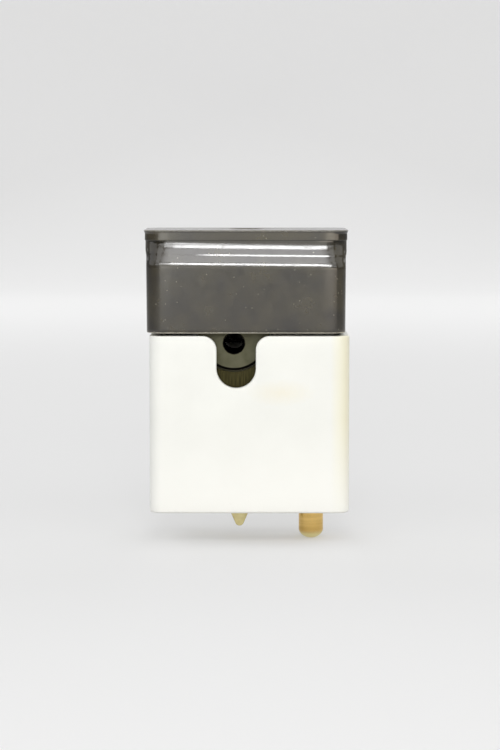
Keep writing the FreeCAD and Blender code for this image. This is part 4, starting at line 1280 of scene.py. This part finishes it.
@dataclass
class TurnedPin:
    """The contact pin: a blunt nose, a shank with its ring's groove, and a flange with a bore.

    Attributes:
        radius: Radius of the pin.
        nose: Height of the blunt nose.
        plain_row: Height of a plain row between the nose and the shank.
        shank: Radius of the shank in the floor.
        groove: Depth of the ring's groove.
        ring_gap: The ring's clearance in it.
        flange_height: Height of the flange.
        bore: Radius of the bore.
        bore_depth: Depth of the bore.
        edge: Width of the turned edges' chamfers.
        tip: Radius of the small flat at the nose's end and at the bore's.
    """

    radius: float = 3.175
    nose: float = 2.5
    plain_row: float = -2.0
    shank: float = 3.6
    groove: float = 0.6
    ring_gap: float = 0.05
    flange_height: float = 2.0
    bore: float = 1.8
    bore_depth: float = 10.0
    edge: float = 0.12
    tip: float = 0.05

    def surface(self) -> Surface:
        """The pin turned about its axis: the nose is a quarter of an ellipse, each edge a small chamfer.

        Returns:
            The closed surface.
        """
        (_, front, low), (_, back, top) = box_of("contact_pin")
        ring_low, ring_high = (corner[2] for corner in box_of("pin_retaining_ring"))
        ring_low, ring_high = ring_low - self.ring_gap, ring_high + self.ring_gap
        flange, inner, edge = (back - front) / 2, self.shank - self.groove, self.edge
        under, floor = top - self.flange_height, top - self.bore_depth
        turn = np.linspace(0, QUARTER, 19)[1:]
        profile = [(self.tip, low), *zip(self.radius * np.sin(turn), low + self.nose * (1 - np.cos(turn))),
                   (self.radius, self.plain_row), (self.radius, 0.0), (self.shank - edge, 0.0),
                   (self.shank, edge), (self.shank, ring_low), (inner, ring_low), (inner, ring_high),
                   (self.shank, ring_high), (self.shank, under), (flange - edge, under),
                   (flange, under + edge), (flange, top - edge), (flange - edge, top),
                   (self.bore + edge, top), (self.bore, top - edge), (self.bore, floor), (self.tip, floor)]
        return turned_surface((centre_of("contact_pin")[0], 0.0), *zip(*profile), 96)

    def build(self) -> None:
        """Make the pin."""
        Piece.add("turned_pin", self.surface(), Finishes.PIN, "carrier", "contact_pin", 35)


@dataclass
class Contacts:
    """The turned pin, the blade with its strap, and their hardware.

    Attributes:
        edge: Width of the softened edges.
    """

    edge: float = 0.15

    def build(self) -> None:
        """Make the pin and dress the other contacts."""
        TurnedPin().build()
        Piece.dress(Finishes.BLADE, "contact_blade", edge=self.edge)
        Piece.dress(Finishes.BRASS, "blade_strap", edge=self.edge)
        Piece.dress(Finishes.SMALL_BRASS, "blade_rivet")
        Piece.dress(Finishes.SPRING, "pin_retaining_ring", edge=self.edge)
        Piece.dress(Finishes.PLATED, "pin_clamp_washer", "blade_clamp_washer", "cap_screw_washer",
                    edge=self.edge)
        Piece.dress(Finishes.RETAINER, "cap_screw_retainer", edge=self.edge)


@dataclass(frozen=True)
class Lamp:
    """A soft lamp that faces the object.

    Attributes:
        name: The lamp's name.
        turn: Its direction round the object, in degrees from the front towards the right.
        height: Its height angle, in degrees.
        distance: Its distance in metres.
        size: Its width and height in metres.
        level: How much of a white sheet's brightness it gives to a surface that faces it.
        tint: Its colour.
    """

    name: str
    turn: float
    height: float
    distance: float
    size: Pair
    level: float
    tint: Colour = WHITE

    def build(self, target: Vector) -> None:
        """Hang the lamp.

        Args:
            target: The point that it faces, in metres.
        """
        data = bpy.data.lights.new(self.name, "AREA")
        data.shape = "RECTANGLE"
        data.size, data.size_y = self.size
        data.energy = self.level * (math.pi * self.distance) ** 2
        data.color = self.tint[:3]
        side, up = math.radians(self.turn), math.radians(self.height)
        away = Vector((math.sin(side) * math.cos(up), -math.cos(side) * math.cos(up), math.sin(up)))
        made = put(self.name, data)
        made.location = target + away * self.distance
        made.rotation_euler = away.to_track_quat("Z", "Y").to_euler()
        made.visible_camera = False


@dataclass
class Studio:
    """The pale floor, the soft lamps and the camera.

    A fade is where it begins and ends, in metres or as a share of the view, and its values there.

    Attributes:
        target: The point that the camera looks at.
        elevation: The camera's height angle, in degrees.
        distance: The camera's distance.
        lens: Its lens, for a sensor as high as the next value.
        sensor: Height of the sensor.
        paper: How much light the paper sends back.
        side_glow: Fade of how much brighter the paper looks than it lights, towards the sides.
        depth_glow: The same before and behind the object.
        room: Fade of how bright the room looks, towards the sides.
        daylight: How much light the room gives.
        sheet: Half the paper's width, and how far it lies before the object.
        bend_start: How far behind the object the paper's bend begins.
        bend: Radius of the bend.
        sheet_top: Height of the paper's upper edge.
        lamps: The lamps.
    """

    target: Point = (0.152, 0.0, 34.234)
    elevation: float = 5.1
    distance: float = 600.0
    lens: float = 111.59
    sensor: float = 36.0
    paper: float = 0.6
    side_glow: tuple[Pair, Pair] = ((0.3, 0.85), (1.0, 0.1))
    depth_glow: tuple[Pair, Pair] = ((0.5, 1.3), (0.26, 0.42))
    room: tuple[Pair, Pair] = ((0.35, 0.8), (0.72, 0.28))
    daylight: float = 0.38
    sheet: float = 3000.0
    bend_start: float = 1200.0
    bend: float = 500.0
    sheet_top: float = 3000.0
    lamps: tuple[Lamp, ...] = (
        Lamp("key_lamp", 3, 19, 1.1, (0.24, 0.06), 0.113),
        Lamp("key_lamp_end", -8, 19, 1.1, (0.17, 0.06), 0.024),
        Lamp("key_lamp_left", -29, 19, 1.1, (0.7, 0.06), 0.03),
        Lamp("key_lamp_right", 29, 19, 1.1, (0.7, 0.06), 0.03),
        Lamp("top_lamp", 0, 37, 1.15, (0.3, 0.55), 0.155),
        Lamp("top_lamp_left", -33, 37, 1.15, (0.6, 0.55), 0.1),
        Lamp("top_lamp_right", 33, 37, 1.15, (0.6, 0.55), 0.1),
        Lamp("front_lamp", 0, 7.5, 0.9, (0.35, 0.28), 0.036, colour(255, 252, 234)),
        Lamp("left_lamp", -6.5, 2.6, 0.89, (0.1, 0.15), 0.008),
        Lamp("right_lamp", 26, 2.6, 0.95, (0.72, 0.15), 0.08, colour(255, 240, 220)),
        Lamp("side_lamp_left", -82, 30, 1.2, (1.0, 0.8), 0.12),
        Lamp("back_lamp_left", -148, 30, 1.2, (1.0, 0.8), 0.22),
        Lamp("side_lamp_right", 82, 30, 1.2, (1.0, 0.8), 0.12),
        Lamp("back_lamp_right", 148, 30, 1.2, (1.0, 0.8), 0.22))

    def camera(self) -> None:
        """Place the camera at the photograph's viewing angle."""
        data = bpy.data.cameras.new("camera")
        data.sensor_fit = "VERTICAL"
        data.sensor_height = self.sensor
        data.lens = self.lens
        data.clip_start = 0.01
        tilt = math.radians(self.elevation)
        away = Vector((0, -math.cos(tilt), math.sin(tilt)))
        made = put("camera", data)
        made.location = (Vector(self.target) + away * self.distance) * MM
        made.rotation_euler = (QUARTER - tilt, 0, 0)
        bpy.context.scene.camera = made

    def floor(self) -> None:
        """A pale sheet under the pin, bent up behind the object over a quarter of a circle."""
        across = np.linspace(-self.sheet, self.sheet, 13)
        flat = np.linspace(-self.sheet, self.bend_start, 12)
        rise, back = rounding(self.bend, 11)[1:].T
        y = np.concatenate([flat, self.bend_start + self.bend - back, [self.bend_start + self.bend]])
        z = np.concatenate([np.zeros(len(flat)), rise, [self.sheet_top]]) + box_of("contact_pin")[0][2]
        made = Surface()
        made.add_grid(np.stack(np.broadcast_arrays(across, y[:, None], z[:, None]), axis=-1),
                      round_columns=False)
        sheet = put("floor", made.mesh("floor"))
        sheet.data.materials.append(self.paper_finish())

    def paper_finish(self) -> bpy.types.Material:
        """White paper that looks white and keeps the object's shadow.

        Returns:
            The floor's material.
        """
        made = bpy.data.materials.new("paper")
        made.use_nodes = True
        nodes = Nodes(made.node_tree)
        place, glow = nodes.parts(nodes.place()), nodes.seen()
        for axis, fade in (("X", self.side_glow), ("Y", self.depth_glow)):
            share = nodes.spread(nodes.math("ABSOLUTE", place[axis]), *fade, "SMOOTHSTEP")
            glow = nodes.math("MULTIPLY", share, glow)
        nodes.feed(made.node_tree.nodes["Principled BSDF"], {
            "Base Color": (self.paper, self.paper, self.paper, 1.0),
            "Roughness": 1.0,
            "Specular IOR Level": 0.0,
            "Emission Color": WHITE,
            "Emission Strength": glow})
        return made

    def world(self) -> None:
        """An even pale room, brighter to the camera and in reflections than as a light."""
        world = bpy.data.worlds.new("room")
        world.use_nodes = True
        bpy.context.scene.world = world
        nodes = Nodes(world.node_tree)
        side = nodes.math("ABSOLUTE", nodes.parts(nodes.place("Generated"))["X"])
        look = nodes.spread(side, *self.room, "SMOOTHSTEP")
        strength = nodes.spread(nodes.seen(), (0.0, 1.0), (self.daylight, look))
        nodes.feed(world.node_tree.nodes["Background"], {"Color": WHITE, "Strength": strength})

    def build(self) -> None:
        """Set up the whole studio."""
        self.camera()
        self.floor()
        self.world()
        for lamp in self.lamps:
            lamp.build(Vector(self.target) * MM)
        bpy.context.scene.view_settings.view_transform = "Standard"
        log.info("studio ready")


def main() -> None:
    """Build and report every sub-assembly."""
    logging.basicConfig(level=logging.INFO, format="%(name)s: %(message)s")
    Studio().build()
    Shell().build()
    Cap().build()
    FuseBlock().build()
    Contacts().build()
    for screw in (SlottedScrew("pin_terminal_screw", "pin_screw", 2.2, 1.75, 0.66),
                  SlottedScrew("blade_terminal_screw", "blade_screw", 2.2, 1.75, 0.66),
                  SlottedScrew("cap_screw", "cap_screw", 2.4, 2.3, 0.81, plain=4.0)):
        screw.build()


if __name__ == "__main__":
    main()
